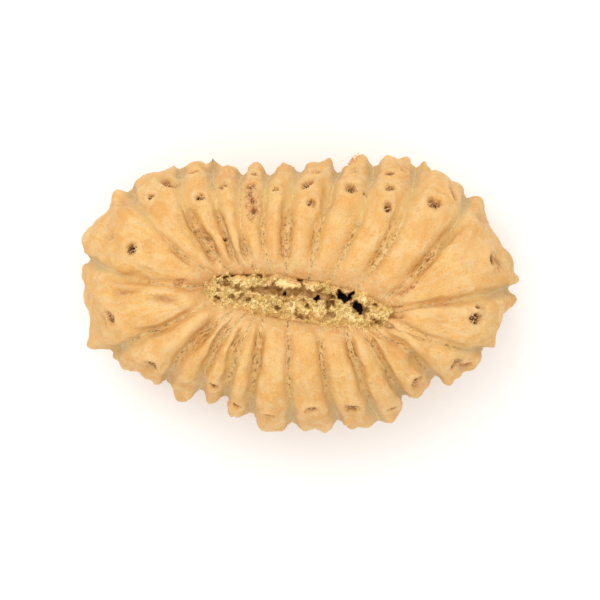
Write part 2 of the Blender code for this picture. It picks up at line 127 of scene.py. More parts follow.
DENTS = (
    (-8.0, 4.3, 0.8, 1.2), (-7.1, 5.6, 0.5, 1.0), (-8.8, 6.3, 0.6, 1.2), (7.8, -4.5, 0.9, 1.2),
    (9.6, -5.8, 0.7, 1.1), (-8.4, -3.6, 0.8, 1.1), (10.2, 1.6, 0.4, 1.6), (-13.4, 1.0, 0.4, 1.5),
    (11.8, -2.6, 0.5, 1.4), (17.0, -2.5, 1.3, 1.5), (12.4, 9.8, 0.7, 1.5), (-16.4, -5.2, 0.8, 0.7),
    (-13.4, -6.2, 0.5, 0.8), (16.1, 5.8, 0.6, 1.3), (-17.7, 0.8, 0.4, 0.6),
)
TRIMS = (
    (-17.9, 4.6, 0.45, 0.9), (-12.2, 10.2, 0.35, 0.9), (-5.8, 10.8, 0.3, 0.6), (-9.0, 10.8, 0.2, 0.5),
    (11.0, 10.4, 0.4, 0.8), (17.2, 4.5, 0.4, 0.9), (17.8, -1.0, 0.7, 0.8), (16.6, -4.3, 0.5, 0.7),
    (12.6, -7.4, 0.4, 0.6), (-14.9, -6.4, 0.4, 0.5), (18.2, -0.4, 0.7, 0.7), (-18.0, 5.0, 0.5, 0.9),
    (17.2, -2.2, 0.5, 0.9), (-17.1, -4.7, -0.7, 0.9), (-5.9, 10.4, 0.35, 0.8), (-5.7, -9.9, 0.3, 0.6),
    (3.4, -10.3, -0.35, 0.7), (16.1, -3.4, 0.4, 0.8), (-10.8, -7.8, -0.3, 0.7), (14.3, -6.3, -0.35, 0.7),
    (-17.9, -0.2, 0.3, 0.8), (-13.9, -6.6, 0.4, 0.6),
)
OUTLINE_LEVEL = 68.0
OUTLINE_SPREAD = 13.0
OUTLINE_DENT_TALLNESS = 2.6
BLUNTNESS = 1.75
print(len(NODULES), "nodules,", len(DENTS), "dents,", len(TRIMS), "trims of the outline")

# %% [markdown]
# ## Knobs and low humps
# A few round knobs stand out of the outline by themselves. A knob has a level too, in degrees down from the
# top, because it may sit a little above or below the widest line. Low humps, and the nodules of the
# underside, follow one rule for every rib: degrees above the widest line, a range of heights and a range of
# reaches. A fixed seed draws from the ranges, so the stone is the same each time.

# %% Knobs and the rule for humps
KNOBS = (
    (-15.2, -5.0, 96.0, 0.65, 0.5), (17.6, 0.8, 84.0, 0.5, 0.6), (-9.8, -8.2, 97.0, 0.3, 1.0),
    (-7.3, 11.1, 88.0, 0.6, 0.32), (2.5, 11.0, 88.0, 0.3, 0.4), (5.4, 11.7, 88.0, 0.3, 0.45),
    (9.3, 11.4, 88.0, 0.35, 0.5), (10.4, 10.9, 88.0, 0.4, 0.5), (-10.0, 10.8, 88.0, 0.35, 0.5),
    (16.4, -4.5, 88.0, 0.3, 0.6), (-18.0, -0.8, 88.0, 0.6, 0.45),
)
HUMP_RULES = (
    (38.0, 0.1, 0.3, 1.0, 1.5), (18.0, 0.15, 0.4, 0.9, 1.4), (-23.0, 0.4, 0.75, 1.1, 1.5),
    (-43.0, 0.4, 0.7, 1.1, 1.6), (-60.0, 0.2, 0.4, 1.1, 1.5),
)
HUMP_LEVEL_DRIFT = 7.0
HUMP_ACROSS = (0.3, 0.7)
HUMP_SEED = 23
print(len(KNOBS), "knobs,", RIBS * len(HUMP_RULES), "humps by rule")

# %% [markdown]
# ## Pits
# Holes go into the ribs where fibres of the fruit were rooted. A row is a place, a radius and a depth. The
# small ones lie beside large ones or in hollows, and make a round hole into a ragged crater. Each rib has one
# more pit on the underside, drawn with a fixed seed.

# %% Places of pits
PITS = (
    (-13.9, 3.6, 0.42, 0.9), (-12.3, 8.0, 0.22, 0.5), (-10.9, 9.2, 0.5, 0.5), (-8.3, 7.8, 0.34, 0.7),
    (-8.7, 10.0, 0.32, 0.4), (-6.3, 8.8, 0.3, 0.5), (-4.05, 7.7, 0.3, 0.5), (-4.0, 9.0, 0.34, 0.7),
    (-3.8, 9.9, 0.28, 0.6), (0.5, 9.1, 0.4, 0.7), (0.9, 7.4, 0.38, 0.9), (1.1, 10.2, 0.5, 0.5),
    (4.2, 8.7, 0.44, 1.0), (4.4, 10.1, 0.26, 0.5), (7.4, 8.7, 0.36, 0.9), (7.2, 7.1, 0.4, 1.0),
    (7.3, 10.0, 0.28, 0.6), (11.1, 7.4, 0.5, 1.1), (12.7, 8.3, 0.34, 0.6), (15.9, 2.8, 0.4, 0.8),
    (14.4, -2.2, 0.46, 1.0), (12.9, -5.95, 0.5, 0.9), (9.7, -7.5, 0.4, 0.9), (7.7, -9.7, 0.3, 0.6),
    (4.2, -9.7, 0.44, 1.0), (0.9, -9.8, 0.36, 0.8), (-2.6, -10.2, 0.28, 0.7), (-5.3, -9.3, 0.3, 0.8),
    (-7.2, -7.7, 0.34, 0.4), (-12.4, -6.0, 0.42, 0.7), (-15.7, -2.15, 0.42, 0.8),
)
CRATER_PITS = (
    (-6.2, 4.5, 0.17, 0.3), (-6.55, 8.8, 0.16, 0.3), (-6.05, 8.75, 0.14, 0.3),
    (0.7, 9.15, 0.3, 0.5), (8.6, 10.2, 0.2, 0.3), (16.4, 2.1, 0.24, 0.4), (14.7, -1.2, 0.24, 0.4),
    (13.9, -6.2, 0.3, 0.4), (-12.0, -6.3, 0.26, 0.4), (-15.5, 4.3, 0.14, 0.2), (5.2, 8.1, 0.12, 0.15),
    (-4.15, 8.4, 0.22, 0.3), (-3.9, 6.9, 0.26, 0.35), (-2.0, 8.6, 0.2, 0.4),
)
UNDER_PIT_RADIUS = (0.25, 0.42)
UNDER_PIT_DEPTH = 0.8
UNDER_PIT_HEIGHT = (-13.0, -3.0)
UNDER_PIT_SEED = 24
print(len(PITS), "pits seen from above,", len(CRATER_PITS), "small ones beside them")

# %% [markdown]
# ## Bosses, stains and a frayed edge
# Small waxy orange bosses stand on the shoulder, reddish stains mark old scars, and dry fibres stick out at
# one place of the edge. All three are ovals, which can lie along any direction: a place, a half length, a
# half width, a turn in degrees, and a height or a strength.

# %% Places of bosses, stains and the frayed edge
BOSSES = (
    (-11.5, 6.7, 0.75, 0.6, 0, 0.32), (-14.5, 2.0, 0.8, 0.45, 0, 0.32), (-14.2, 6.3, 0.7, 0.5, -20, 0.25),
    (-14.6, 4.3, 0.45, 0.4, 0, 0.2), (-12.4, 3.9, 0.7, 0.5, 40, 0.12), (16.6, 1.0, 0.7, 0.4, 20, 0.2),
    (10.2, 5.6, 0.6, 0.4, 60, 0.15), (-7.5, -6.6, 0.7, 0.45, 50, 0.15), (5.9, -8.6, 0.6, 0.4, -60, 0.15),
)
STAINS = (
    (8.9, 0.4, 1.0, 0.28, 42, 1.0), (8.3, -0.1, 0.7, 0.25, 35, 0.7), (-6.9, 3.2, 0.9, 0.25, -55, 0.45),
    (-4.0, 7.6, 1.5, 0.5, 92, 2.2), (-9.9, 0.75, 0.5, 0.3, 0, 1.0),
)
FRAYS = ((4.4, 11.0, 0.6, 0.6, 0, 1.0),)
print(len(BOSSES), "bosses,", len(STAINS), "stains,", len(FRAYS), "frayed place")

# %% [markdown]
# ## The smooth body under the ribs
# Meridians run from the upper slit's edge over the shoulder to the lower slit's. Between the grooves the
# loop is a smooth curve, so the body has no corners. It could be sculpted, but a grid keeps a whole number
# of columns in each rib, which lets a groove be one exact column.

# %% Curves round the loop of ribs
COLUMN_PITCH = 0.225
ROWS = 168
ROW_CROWDING = 0.3


def slit_point(slit, angle, along=1.0, across=1.0):
    turn = math.radians(slit["turn"])
    local_x = slit["half_length"] * along * np.cos(angle)
    local_y = slit["half_width"] * across * np.sin(angle)
    x = slit["x"] + local_x * math.cos(turn) - local_y * math.sin(turn)
    y = slit["y"] + local_x * math.sin(turn) + local_y * math.cos(turn)
    return np.stack([x, y], axis=-1)


def slit_angles(slit, places):
    turn = math.radians(slit["turn"])
    x = GROOVES[:, 2, 0] - slit["x"]
    y = GROOVES[:, 2, 1] - slit["y"]
    local_x = x * math.cos(turn) + y * math.sin(turn)
    local_y = y * math.cos(turn) - x * math.sin(turn)
    angles = np.unwrap(np.arctan2(local_y / slit["half_width"], local_x / slit["half_length"]))
    return np.interp(places, np.arange(RIBS + 1), np.append(angles, angles[0] + 2 * math.pi))


# A cubic through the middle two of four neighbouring places, with the outer two giving its slopes
def round_loop(values, places):
    first = np.floor(places).astype(int)
    t = (places - first)[:, None]
    before, start, end, after = (values[(first + step) % RIBS] for step in (-1, 0, 1, 2))
    return 0.5 * (
        2 * start
        + (end - before) * t
        + (2 * before - 5 * start + 4 * end - after) * t**2
        + (3 * start - before - 3 * end + after) * t**3
    )


OUTER = GROOVES[:, 0]
RIB_WIDTHS = np.linalg.norm(np.roll(OUTER, -1, axis=0) - OUTER, axis=1)
PLACES = np.concatenate([
    rib + np.arange(round(width / COLUMN_PITCH)) / round(width / COLUMN_PITCH)
    for rib, width in enumerate(RIB_WIDTHS)
])
print(len(PLACES), "columns round the stone")


# %% The grid of meridians
def meridians(places):
    rim = round_loop(OUTER, places)
    halfway = round_loop(GROOVES[:, 1], places)
    top = slit_point(UPPER_SLIT, slit_angles(UPPER_SLIT, places))
    bottom = slit_point(LOWER_SLIT, slit_angles(LOWER_SLIT, places))
    bend_above = 2 * halfway - (rim + top) / 2
    reach = rim - bottom
    bend_below = (rim + bottom) / 2 + UNDER_SWIRL * np.column_stack([-reach[:, 1], reach[:, 0]])
    steps = np.arange(ROWS) / (ROWS - 1)
    levels = math.pi * steps + ROW_CROWDING * np.sin(2 * math.pi * steps) / 2
    rows = []
    for level in levels:
        out = math.sin(level)
        rise = abs(math.cos(level)) ** MERIDIAN_POWER
        above = level < math.pi / 2
        slit, bend = (top, bend_above) if above else (bottom, bend_below)
        plan = (1 - out) ** 2 * slit + 2 * out * (1 - out) * bend + out**2 * rim
        dip = LIP_DROP * math.exp(-out / LIP_REACH)
        height = UPPER_HEIGHT * rise - dip if above else dip - LOWER_HEIGHT * rise
        rows.append(np.column_stack([plan, np.full(len(plan), height)]))
    grid = np.array(rows)
    along = np.roll(grid, -1, axis=1) - np.roll(grid, 1, axis=1)
    normal = np.cross(np.gradient(grid, axis=0), along)
    normal /= np.linalg.norm(normal, axis=2, keepdims=True)
    return grid, normal, levels


grid, way_out, levels = meridians(PLACES)
print("smooth body", [round(float(v), 2) for v in np.ptp(grid.reshape(-1, 3), axis=0)], "mm")


# %% Humps and dents as one height over the grid
def hump_heights(grid, levels):
    degrees = np.degrees(levels)
    upper = grid[degrees <= 90.0]
    amount = np.zeros(grid.shape[:2])
    draw = random.Random(HUMP_SEED)

    def raise_round(centre, height, reach, tallness=1.0):
        distance = np.linalg.norm((grid - centre) / (1.0, 1.0, tallness), axis=2) / reach
        amount[:] += height * np.exp(-(distance**BLUNTNESS))

    def seen_from_above(x, y):
        away = np.linalg.norm(upper[..., :2] - (x, y), axis=2)
        return np.unravel_index(np.argmin(away), away.shape)

    def row_at(level):
        return np.argmin(np.abs(degrees - level))

    for x, y, height, reach in NODULES:
        row, column = seen_from_above(x, y)
        if degrees[row] > OUTLINE_LEVEL:
            row = row_at(90.0 + draw.uniform(-OUTLINE_SPREAD, OUTLINE_SPREAD))
        raise_round(grid[row, column], height, reach)
    for x, y, depth, reach in DENTS + TRIMS:
        row, column = seen_from_above(x, y)
        tallness = OUTLINE_DENT_TALLNESS if degrees[row] > OUTLINE_LEVEL else 1.0
        raise_round(grid[row, column], -depth, reach, tallness)
    for x, y, level, height, reach in KNOBS:
        column = seen_from_above(x, y)[1]
        raise_round(grid[row_at(level), column], height, reach)
    for rib in range(RIBS):
        for level, low, high, near, far in HUMP_RULES:
            column = np.argmin(np.abs(PLACES - rib - draw.uniform(*HUMP_ACROSS)))
            row = row_at(90.0 - level + draw.uniform(-HUMP_LEVEL_DRIFT, HUMP_LEVEL_DRIFT))
            raise_round(grid[row, column], draw.uniform(low, high), draw.uniform(near, far))
    return amount


humps = hump_heights(grid, levels)
print("humps from", round(float(humps.min()), 2), "to", round(float(humps.max()), 2), "mm")

# %% [markdown]
# ## Creases, hollows and folds
# Beside many grooves the rib walls fall into a deep crease near the slit, and folds of skin stand up between
# them. The outer parts of the ribs have shallow hollows where the flesh was torn off. A crease or a fold is
# a short path with a half width and a depth or height, and a hollow is an oval. Displacing a mesh by such
# places needs no finer mesh than the rest has.

# %% Paths of creases
CREASES = (
    (((-10.8, 4.0), (-9.8, 3.1), (-8.7, 2.2)), 0.22, 0.4),
    (((-9.6, 7.6), (-8.7, 5.8), (-7.8, 4.5), (-6.6, 1.8)), 0.4, 0.65),
    (((-7.1, 7.6), (-6.3, 5.2), (-5.8, 3.7), (-5.1, 1.9)), 0.25, 0.6),
    (((-4.9, 4.8), (-4.6, 3.7), (-4.2, 2.5)), 0.33, 0.45),
    (((-3.1, 8.7), (-3.1, 4.8), (-2.8, 2.3)), 0.25, 0.35),
    (((-0.9, 8.2), (-1.2, 4.9), (-1.3, 1.8)), 0.42, 0.6),
    (((2.2, 9.7), (2.2, 7.3), (1.4, 5.2), (0.9, 1.6)), 0.38, 0.4),
    (((5.2, 7.2), (4.2, 4.5), (2.9, 1.8)), 0.34, 0.35),
    (((8.8, 8.2), (7.3, 4.5), (6.3, 2.7), (4.9, 0.3)), 0.45, 0.5),
    (((13.4, 6.0), (11.8, 4.5), (10.1, 2.2), (8.2, 0.6)), 0.42, 0.45),
    (((17.8, 0.6), (16.4, 0.2), (13.8, -0.5), (9.7, -1.1), (7.2, -1.2)), 0.34, 0.3),
    (((7.2, -2.0), (9.4, -3.2), (10.9, -3.8), (14.2, -4.6)), 0.29, 0.35),
    (((6.2, -2.4), (8.0, -4.0), (9.4, -5.5), (11.8, -7.4)), 0.4, 0.35),
    (((5.2, -3.0), (6.6, -5.1), (7.5, -7.2), (8.6, -8.5)), 0.29, 0.6),
    (((3.7, -2.8), (4.4, -5.5), (5.5, -8.4), (6.2, -10.0)), 0.33, 0.6),
    (((1.4, -2.7), (1.8, -5.9), (2.4, -8.8), (3.1, -10.2)), 0.25, 0.4),
    (((-0.9, -2.2), (-1.0, -7.2), (-0.8, -10.5)), 0.25, 0.35),
    (((-3.1, -2.3), (-3.6, -5.7), (-4.1, -8.4), (-4.1, -10.0)), 0.33, 0.6),
    (((-4.7, -2.3), (-5.6, -5.1), (-6.1, -8.4)), 0.38, 0.6),
    (((-5.4, -1.6), (-7.1, -4.7), (-8.4, -7.6)), 0.4, 0.6),
    (((-6.4, -1.5), (-8.2, -3.8), (-9.8, -5.2), (-10.9, -7.2)), 0.42, 0.45),
    (((-8.1, -1.0), (-10.6, -2.6), (-12.4, -3.4), (-15.1, -4.7)), 0.33, 0.3),
    (((-9.4, 0.7), (-11.6, 0.9), (-14.9, 1.0), (-17.2, 2.2)), 0.26, 0.22),
    (((7.0, -1.2), (7.8, -1.3), (8.7, -1.2)), 0.15, 0.35), (((7.0, -1.95), (7.9, -2.0), (8.8, -1.95)), 0.15, 0.4),
    (((6.3, -2.3), (7.1, -2.65), (8.0, -2.8)), 0.17, 0.4), (((5.4, -2.7), (6.0, -3.2), (6.8, -3.7)), 0.2, 0.35),
    (((7.0, -0.3), (7.9, 0.1), (9.0, 0.9)), 0.2, 0.3), (((-7.9, 0.6), (-8.8, 0.4), (-9.9, 0.6)), 0.15, 0.2),
)
print(len(CREASES), "creases")

# %% Places of hollows and folds
HOLLOWS = (
    (-15.6, 4.4, 0.6, 0.35, 25, 0.3), (-14.3, 1.5, 1.0, 0.3, 0, 0.25), (-14.5, 0.1, 1.1, 0.35, 5, 0.42),
    (-10.9, 9.2, 0.85, 0.5, -20, 0.5), (-12.9, 9.4, 0.5, 0.3, 0, 0.3), (-14.6, 7.6, 1.0, 0.5, -30, 0.3),
    (-6.5, 8.75, 0.2, 0.3, 0, 0.3), (-6.05, 8.8, 0.18, 0.3, 0, 0.25), (-4.0, 7.5, 0.5, 1.45, 3, 0.5),
    (0.6, 9.0, 0.75, 0.3, 25, 0.5), (1.1, 10.2, 0.75, 0.3, 0, 0.4), (4.4, 10.2, 0.6, 0.3, 0, 0.35),
    (8.6, 10.4, 0.6, 0.3, -10, 0.35), (12.8, 8.2, 0.35, 0.65, 30, 0.55), (10.4, 10.2, 0.4, 0.5, 0, 0.3),
    (16.2, 2.5, 0.85, 0.35, -55, 0.5), (14.6, -2.2, 0.4, 0.5, 0, 0.4), (14.8, -1.1, 0.3, 0.3, 0, 0.4),
    (13.6, -6.2, 1.0, 0.35, 0, 0.5), (9.8, -7.7, 0.6, 0.45, 0, 0.5), (8.0, -9.8, 0.7, 0.35, 0, 0.5),
    (4.9, -11.1, 0.9, 0.35, 0, 0.6), (1.1, -11.2, 1.1, 0.35, 0, 0.6), (0.9, -9.9, 0.6, 0.22, 0, 0.25),
    (4.2, -9.8, 0.6, 0.45, 0, 0.35), (-2.6, -10.3, 0.35, 0.3, 0, 0.3), (-12.7, -6.2, 0.9, 0.35, -20, 0.45),
    (-16.0, -2.3, 0.4, 0.55, 0, 0.4), (-17.0, -4.0, 0.5, 0.8, -20, 0.35), (-9.6, -8.0, 1.0, 0.6, 20, 0.3),
    (-14.8, -6.0, 0.5, 0.4, 0, 0.3), (-9.7, 0.8, 0.55, 0.3, 0, 0.4), (-9.0, 0.35, 0.9, 0.4, 0, 0.15),
    (9.0, 0.55, 0.9, 0.45, 35, 0.18), (-11.3, -0.5, 1.6, 0.4, -6, 0.45), (-12.6, -3.2, 1.2, 0.35, 5, 0.3),
    (-12.9, 6.9, 0.5, 0.35, -40, 0.2), (12.6, 4.9, 1.2, 0.35, 45, 0.2), (15.2, 6.2, 0.8, 0.5, -50, 0.35),
)
FOLDS = (
    (((8.2, -1.7), (11.5, -1.4), (14.6, -1.6)), 0.42, 0.4),
    (((10.3, 8.0), (10.8, 8.9), (11.9, 8.6), (12.4, 7.0)), 0.35, 0.25),
    (((13.9, 4.8), (11.8, 2.8)), 0.5, 0.12),
    (((-15.2, 2.6), (-13.2, 2.7), (-10.6, 1.7)), 0.5, 0.25),
    (((-12.9, 6.6), (-11.4, 5.2), (-9.6, 4.0)), 0.4, 0.25),
    (((6.9, -2.0), (8.4, -3.2), (10.4, -4.9)), 0.35, 0.3),
    (((-7.3, -1.3), (-9.6, -3.4), (-12.0, -4.9)), 0.45, 0.3),
    (((-5.9, 7.4), (-5.6, 5.0), (-4.9, 3.0)), 0.35, 0.25),
)
print(len(HOLLOWS), "hollows,", len(FOLDS), "raised folds")


# %% Creases, hollows and folds as heights over the grid
PATH_START_FADE = 0.2
PATH_END_FADE = 0.25
OVAL_STEEPNESS = 3


def along_paths(plan, paths):
    total = np.zeros(plan.shape[:-1])
    for places, half_width, height in paths:
        places = np.array(places)
        spans = np.linalg.norm(np.diff(places, axis=0), axis=1)
        starts = np.append(0.0, np.cumsum(spans))
        nearest = np.full(total.shape, np.inf)
        share = np.zeros(total.shape)
        for start, end, before, span in zip(places, places[1:], starts, spans):
            t = np.clip(((plan - start) @ (end - start)) / span**2, 0.0, 1.0)
            away = np.linalg.norm(plan - start - t[..., None] * (end - start), axis=-1)
            closer = away < nearest
            nearest = np.where(closer, away, nearest)
            share = np.where(closer, (before + t * span) / starts[-1], share)
        ends = np.clip(share / PATH_START_FADE, 0.0, 1.0) * np.clip((1 - share) / PATH_END_FADE, 0.0, 1.0)
        total = np.maximum(total, height * ends * np.exp(-(nearest / half_width) ** 2))
    return total


def in_ovals(plan, ovals):
    depth = np.zeros(plan.shape[:-1])
    for x, y, half_length, half_width, turn, sink in ovals:
        angle = math.radians(turn)
        away = plan - (x, y)
        u = (away[..., 0] * math.cos(angle) + away[..., 1] * math.sin(angle)) / half_length
        v = (away[..., 1] * math.cos(angle) - away[..., 0] * math.sin(angle)) / half_width
        depth = np.maximum(depth, sink * np.exp(-np.hypot(u, v) ** OVAL_STEEPNESS))
    return depth


UPPER_FADE = (72.0, 92.0)
RIB_STAND = 0.5
FRAY_LEVEL = 82.0
FRAY_SPREAD = 5.0
upper = np.interp(np.degrees(levels), UPPER_FADE, (1.0, 0.0))[:, None]
at_edge = (np.abs(np.degrees(levels) - FRAY_LEVEL) < FRAY_SPREAD)[:, None]
on_body = grid[..., :2]
on_ribs = (grid + way_out * RIB_STAND)[..., :2]
RELIEFS = {
    "crease": along_paths(on_body, CREASES) * upper,
    "hollow": in_ovals(on_ribs, HOLLOWS) * upper,
    "fold": along_paths(on_body, FOLDS) * upper,
    "boss": in_ovals(on_ribs, BOSSES) * upper,
    "stain": in_ovals(on_ribs, STAINS) * upper,
    "fray": in_ovals(on_ribs, FRAYS) * at_edge,
}
print("greatest", {name: round(float(amount.max()), 2) for name, amount in RELIEFS.items()})

# %% [markdown]
# ## From numbers to a mesh that remembers
# The mesh carries what later steps need as named attributes: how far a point is from its groove, how far
# out from the slit, which way the body faces, how high a hump stands, and one attribute each for creases,
# hollows, folds, bosses, stains and frays. A UV map holds the same place in millimetres along and across the
# ribs, because streaks have to follow them.

# %% Where the design lies in the frame
PULP_THICKNESS = 1.7
pulp_low, pulp_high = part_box("dried_pulp")
edge_height = float(grid[0, 0, 2])
SHIFT = np.array([
    (pulp_low.x + pulp_high.x) / 2 / MM - UPPER_SLIT["x"],
    (pulp_low.y + pulp_high.y) / 2 / MM - UPPER_SLIT["y"],
    pulp_low.z / MM - (edge_height - PULP_THICKNESS),
])
print("shift to the frame", SHIFT.round(3), "mm")


# %% Faces, slit walls and attributes
def ring_faces(rows, columns):
    row = np.arange(rows - 1)[:, None]
    column = np.arange(columns)[None, :]
    here, below = row * columns, (row + 1) * columns
    after = (column + 1) % columns
    return np.stack([here + column, below + column, below + after, here + after], axis=-1).reshape(-1, 4)


def slit_walls(slit, height, sign):
    angles = slit_angles(slit, PLACES)
    return [
        np.column_stack([slit_point(slit, angles, along, across), np.full(len(angles), height - sign * depth)])
        for depth, along, across in SLIT_STEPS
    ]


def named(mesh, name, kind, values):
    field = "vector" if kind == "FLOAT_VECTOR" else "value"
    numbers = np.ascontiguousarray(values, np.float32).ravel()
    mesh.attributes.new(name, kind, "POINT").data.foreach_set(field, numbers)


def width_so_far(places):
    return np.interp(places, np.arange(RIBS + 1), np.append(0.0, np.cumsum(RIB_WIDTHS)))


def add_rib_map(mesh, along):
    rows = len(along)
    edges = width_so_far(np.append(PLACES, RIBS))
    beside = np.roll(along, -1, axis=1)
    u = np.repeat(np.stack([edges[:-1], edges[:-1], edges[1:], edges[1:]], axis=-1)[None], rows - 1, axis=0)
    v = np.stack([along[:-1], along[1:], beside[1:], beside[:-1]], axis=-1)
    uv = np.zeros((len(mesh.loops), 2), np.float32)
    uv[: u.size] = np.stack([u, v], axis=-1).reshape(-1, 2)
    mesh.uv_layers.new(name="rib_map").data.foreach_set("uv", uv.ravel())


# %% The ringed mesh
def smooth_body():
    top = slit_walls(UPPER_SLIT, grid[0, 0, 2], 1)[::-1]
    bottom = slit_walls(LOWER_SLIT, grid[-1, 0, 2], -1)
    points = np.array(top + list(grid) + bottom)
    rows, columns = points.shape[:2]
    walls = ((len(top), len(bottom)), (0, 0))
    mesh = bpy.data.meshes.new("ribbed_stone")
    caps = [list(range(columns)), list(range((rows - 1) * columns, rows * columns))[::-1]]
    faces = ring_faces(rows, columns).tolist() + caps
    mesh.from_pydata(((points + SHIFT) * MM).reshape(-1, 3), [], faces)

    out = np.repeat(np.sin(levels)[:, None], columns, axis=1)
    rib = np.floor(PLACES).astype(int)
    across = np.minimum(PLACES - rib, rib + 1 - PLACES)
    from_groove = across * RIB_WIDTHS[rib] * (RIB_TAPER + (1 - RIB_TAPER) * out)
    hump = np.pad(humps, walls)
    hump[[len(top), -len(bottom) - 1]] = 0.0
    depth = np.zeros(rows)
    wall_depths = [step[0] for step in SLIT_STEPS]
    depth[: len(top)] = wall_depths[::-1]
    depth[-len(bottom) :] = wall_depths
    steps = np.linalg.norm(np.diff(points, axis=0), axis=2)
    along = np.vstack([np.zeros(columns), np.cumsum(steps, axis=0)])
    round_way = np.repeat(width_so_far(PLACES)[None], rows, axis=0)

    named(mesh, "way_out", "FLOAT_VECTOR", np.pad(way_out, (*walls, (0, 0))))
    named(mesh, "rib_place", "FLOAT_VECTOR", np.stack([round_way, along, np.zeros((rows, columns))], axis=-1))
    named(mesh, "from_groove", "FLOAT", np.pad(from_groove, walls, mode="edge"))
    named(mesh, "out", "FLOAT", np.pad(out, walls, mode="edge"))
    named(mesh, "hump", "FLOAT", hump)
    named(mesh, "slit_depth", "FLOAT", np.repeat(depth[:, None], columns, axis=1))
    for name, amount in RELIEFS.items():
        named(mesh, name, "FLOAT", np.pad(amount, walls))
    add_rib_map(mesh, along)
    mesh.validate()
    return mesh


body_mesh = smooth_body()
print(len(body_mesh.vertices), "points,", len(body_mesh.polygons), "faces")

# %% [markdown]
# ## Node trees written as Python
# Geometry Nodes and materials are both node trees. A small class wraps a socket so that sums can be written
# as sums, and one method makes every other node: its settings first, then the values or links of its
# sockets. That keeps a long tree as readable as a formula.


# %% A socket that takes arithmetic
class Value:
    def __init__(self, bench, socket):
        self.bench = bench
        self.socket = socket

    def math(self, operation, *others):
        inputs = dict(enumerate((self, *others)))
        return self.bench.node("ShaderNodeMath", {"operation": operation}, inputs)

    def __add__(self, other):
        return self.math("ADD", other)

    def __radd__(self, other):
        return self.math("ADD", other)

    def __sub__(self, other):
        return self.math("SUBTRACT", other)

    def __rsub__(self, other):
        return self.bench.node("ShaderNodeMath", {"operation": "SUBTRACT"}, {0: other, 1: self})

    def __mul__(self, other):
        return self.math("MULTIPLY", other)

    def __rmul__(self, other):
        return self.math("MULTIPLY", other)

    def __truediv__(self, other):
        return self.math("DIVIDE", other)

    def __rtruediv__(self, other):
        return self.bench.node("ShaderNodeMath", {"operation": "DIVIDE"}, {0: other, 1: self})

    def __pow__(self, other):
        return self.math("POWER", other)

    def least(self, other):
        return self.math("MINIMUM", other)

    def most(self, other):
        return self.math("MAXIMUM", other)

    def fades(self, start, end):
        settings = {"interpolation_type": "SMOOTHSTEP"}
        inputs = {"Value": self, "From Min": start, "From Max": end}
        return self.bench.node("ShaderNodeMapRange", settings, inputs)


# %% One method for every node
class Bench:
    def __init__(self, tree):
        self.tree = tree

    def node(self, kind, settings=None, inputs=None, output=0):
        made = self.tree.nodes.new(kind)
        for name, value in (settings or {}).items():
            setattr(made, name, value)
        for name, value in (inputs or {}).items():
            if isinstance(value, Value):
                self.tree.links.new(value.socket, made.inputs[name])
            else:
                made.inputs[name].default_value = value
        if output is None:
            return made
        return Value(self, made.outputs[output])

    def named(self, name, kind="FLOAT"):
        return self.node("GeometryNodeInputNamedAttribute", {"data_type": kind}, {"Name": name})

    def vector(self, operation, *values, output=0):
        return self.node("ShaderNodeVectorMath", {"operation": operation}, dict(enumerate(values)), output)

    def scaled(self, vector, amount):
        return self.node("ShaderNodeVectorMath", {"operation": "SCALE"}, {0: vector, "Scale": amount})

    def dot(self, a, b):
        return self.vector("DOT_PRODUCT", a, b, output="Value")

    def axis(self, vector, name):
        return self.node("ShaderNodeSeparateXYZ", {}, {0: vector}, name)

    def noise(self, position, size, detail=2.0, roughness=0.5, output=0):
        inputs = {"Vector": position, "Scale": 1.0 / size, "Detail": detail, "Roughness": roughness}
        return self.node("ShaderNodeTexNoise", {}, inputs, output)

    def cells(self, position, scale):
        inputs = {"Vector": position, "Scale": scale}
        return self.node("ShaderNodeTexVoronoi", {"feature": "F1"}, inputs, "Distance")


# %% Short names for steps that every geometry tree takes
RANDOM_SOCKETS = {"FLOAT_VECTOR": (0, 1, 0), "FLOAT": (2, 3, 1)}


class ShapeBench(Bench):
    def place_in_mm(self):
        return self.scaled(self.node("GeometryNodeInputPosition"), 1 / MM)

    def moved(self, geometry, offset):
        return self.node("GeometryNodeSetPosition", {}, {0: geometry, "Offset": offset})

    def stored(self, geometry, name, value, kind="FLOAT"):
        settings = {"data_type": kind, "domain": "POINT"}
        return self.node("GeometryNodeStoreNamedAttribute", settings, {0: geometry, "Name": name, "Value": value})

    def scattered(self, geometry, density, seed, output):
        settings = {"distribute_method": "RANDOM"}
        inputs = {0: geometry, "Density": density, "Seed": seed}
        return self.node("GeometryNodeDistributePointsOnFaces", settings, inputs, output)

    def chance(self, kind, low, high, seed):
        low_socket, high_socket, result = RANDOM_SOCKETS[kind]
        inputs = {low_socket: low, high_socket: high, "Seed": seed}
        return self.node("FunctionNodeRandomValue", {"data_type": kind}, inputs, result)


# %% A geometry tree with named sizes
def geometry_tree(name, sizes, build):
    tree = bpy.data.node_groups.new(name, "GeometryNodeTree")
    for way in ("OUTPUT", "INPUT"):
        tree.interface.new_socket("Geometry", in_out=way, socket_type="NodeSocketGeometry")
    for label, value in sizes.items():
        kind = "NodeSocketFloat" if isinstance(value, (int, float)) else "NodeSocketObject"
        if isinstance(value, bpy.types.Material):
            kind = "NodeSocketMaterial"
        tree.interface.new_socket(label, in_out="INPUT", socket_type=kind)
    bench = ShapeBench(tree)
    entry = tree.nodes.new("NodeGroupInput")
    given = {socket.name: Value(bench, socket) for socket in entry.outputs if socket.name}
    made = build(bench, given)
    real = bench.node("GeometryNodeRealizeInstances", {}, {0: made})
    last = bench.node("GeometryNodeSetMaterial", {}, {0: real, "Material": given["Material"]})
    leave = tree.nodes.new("NodeGroupOutput")
    tree.links.new(last.socket, leave.inputs[0])
    return tree


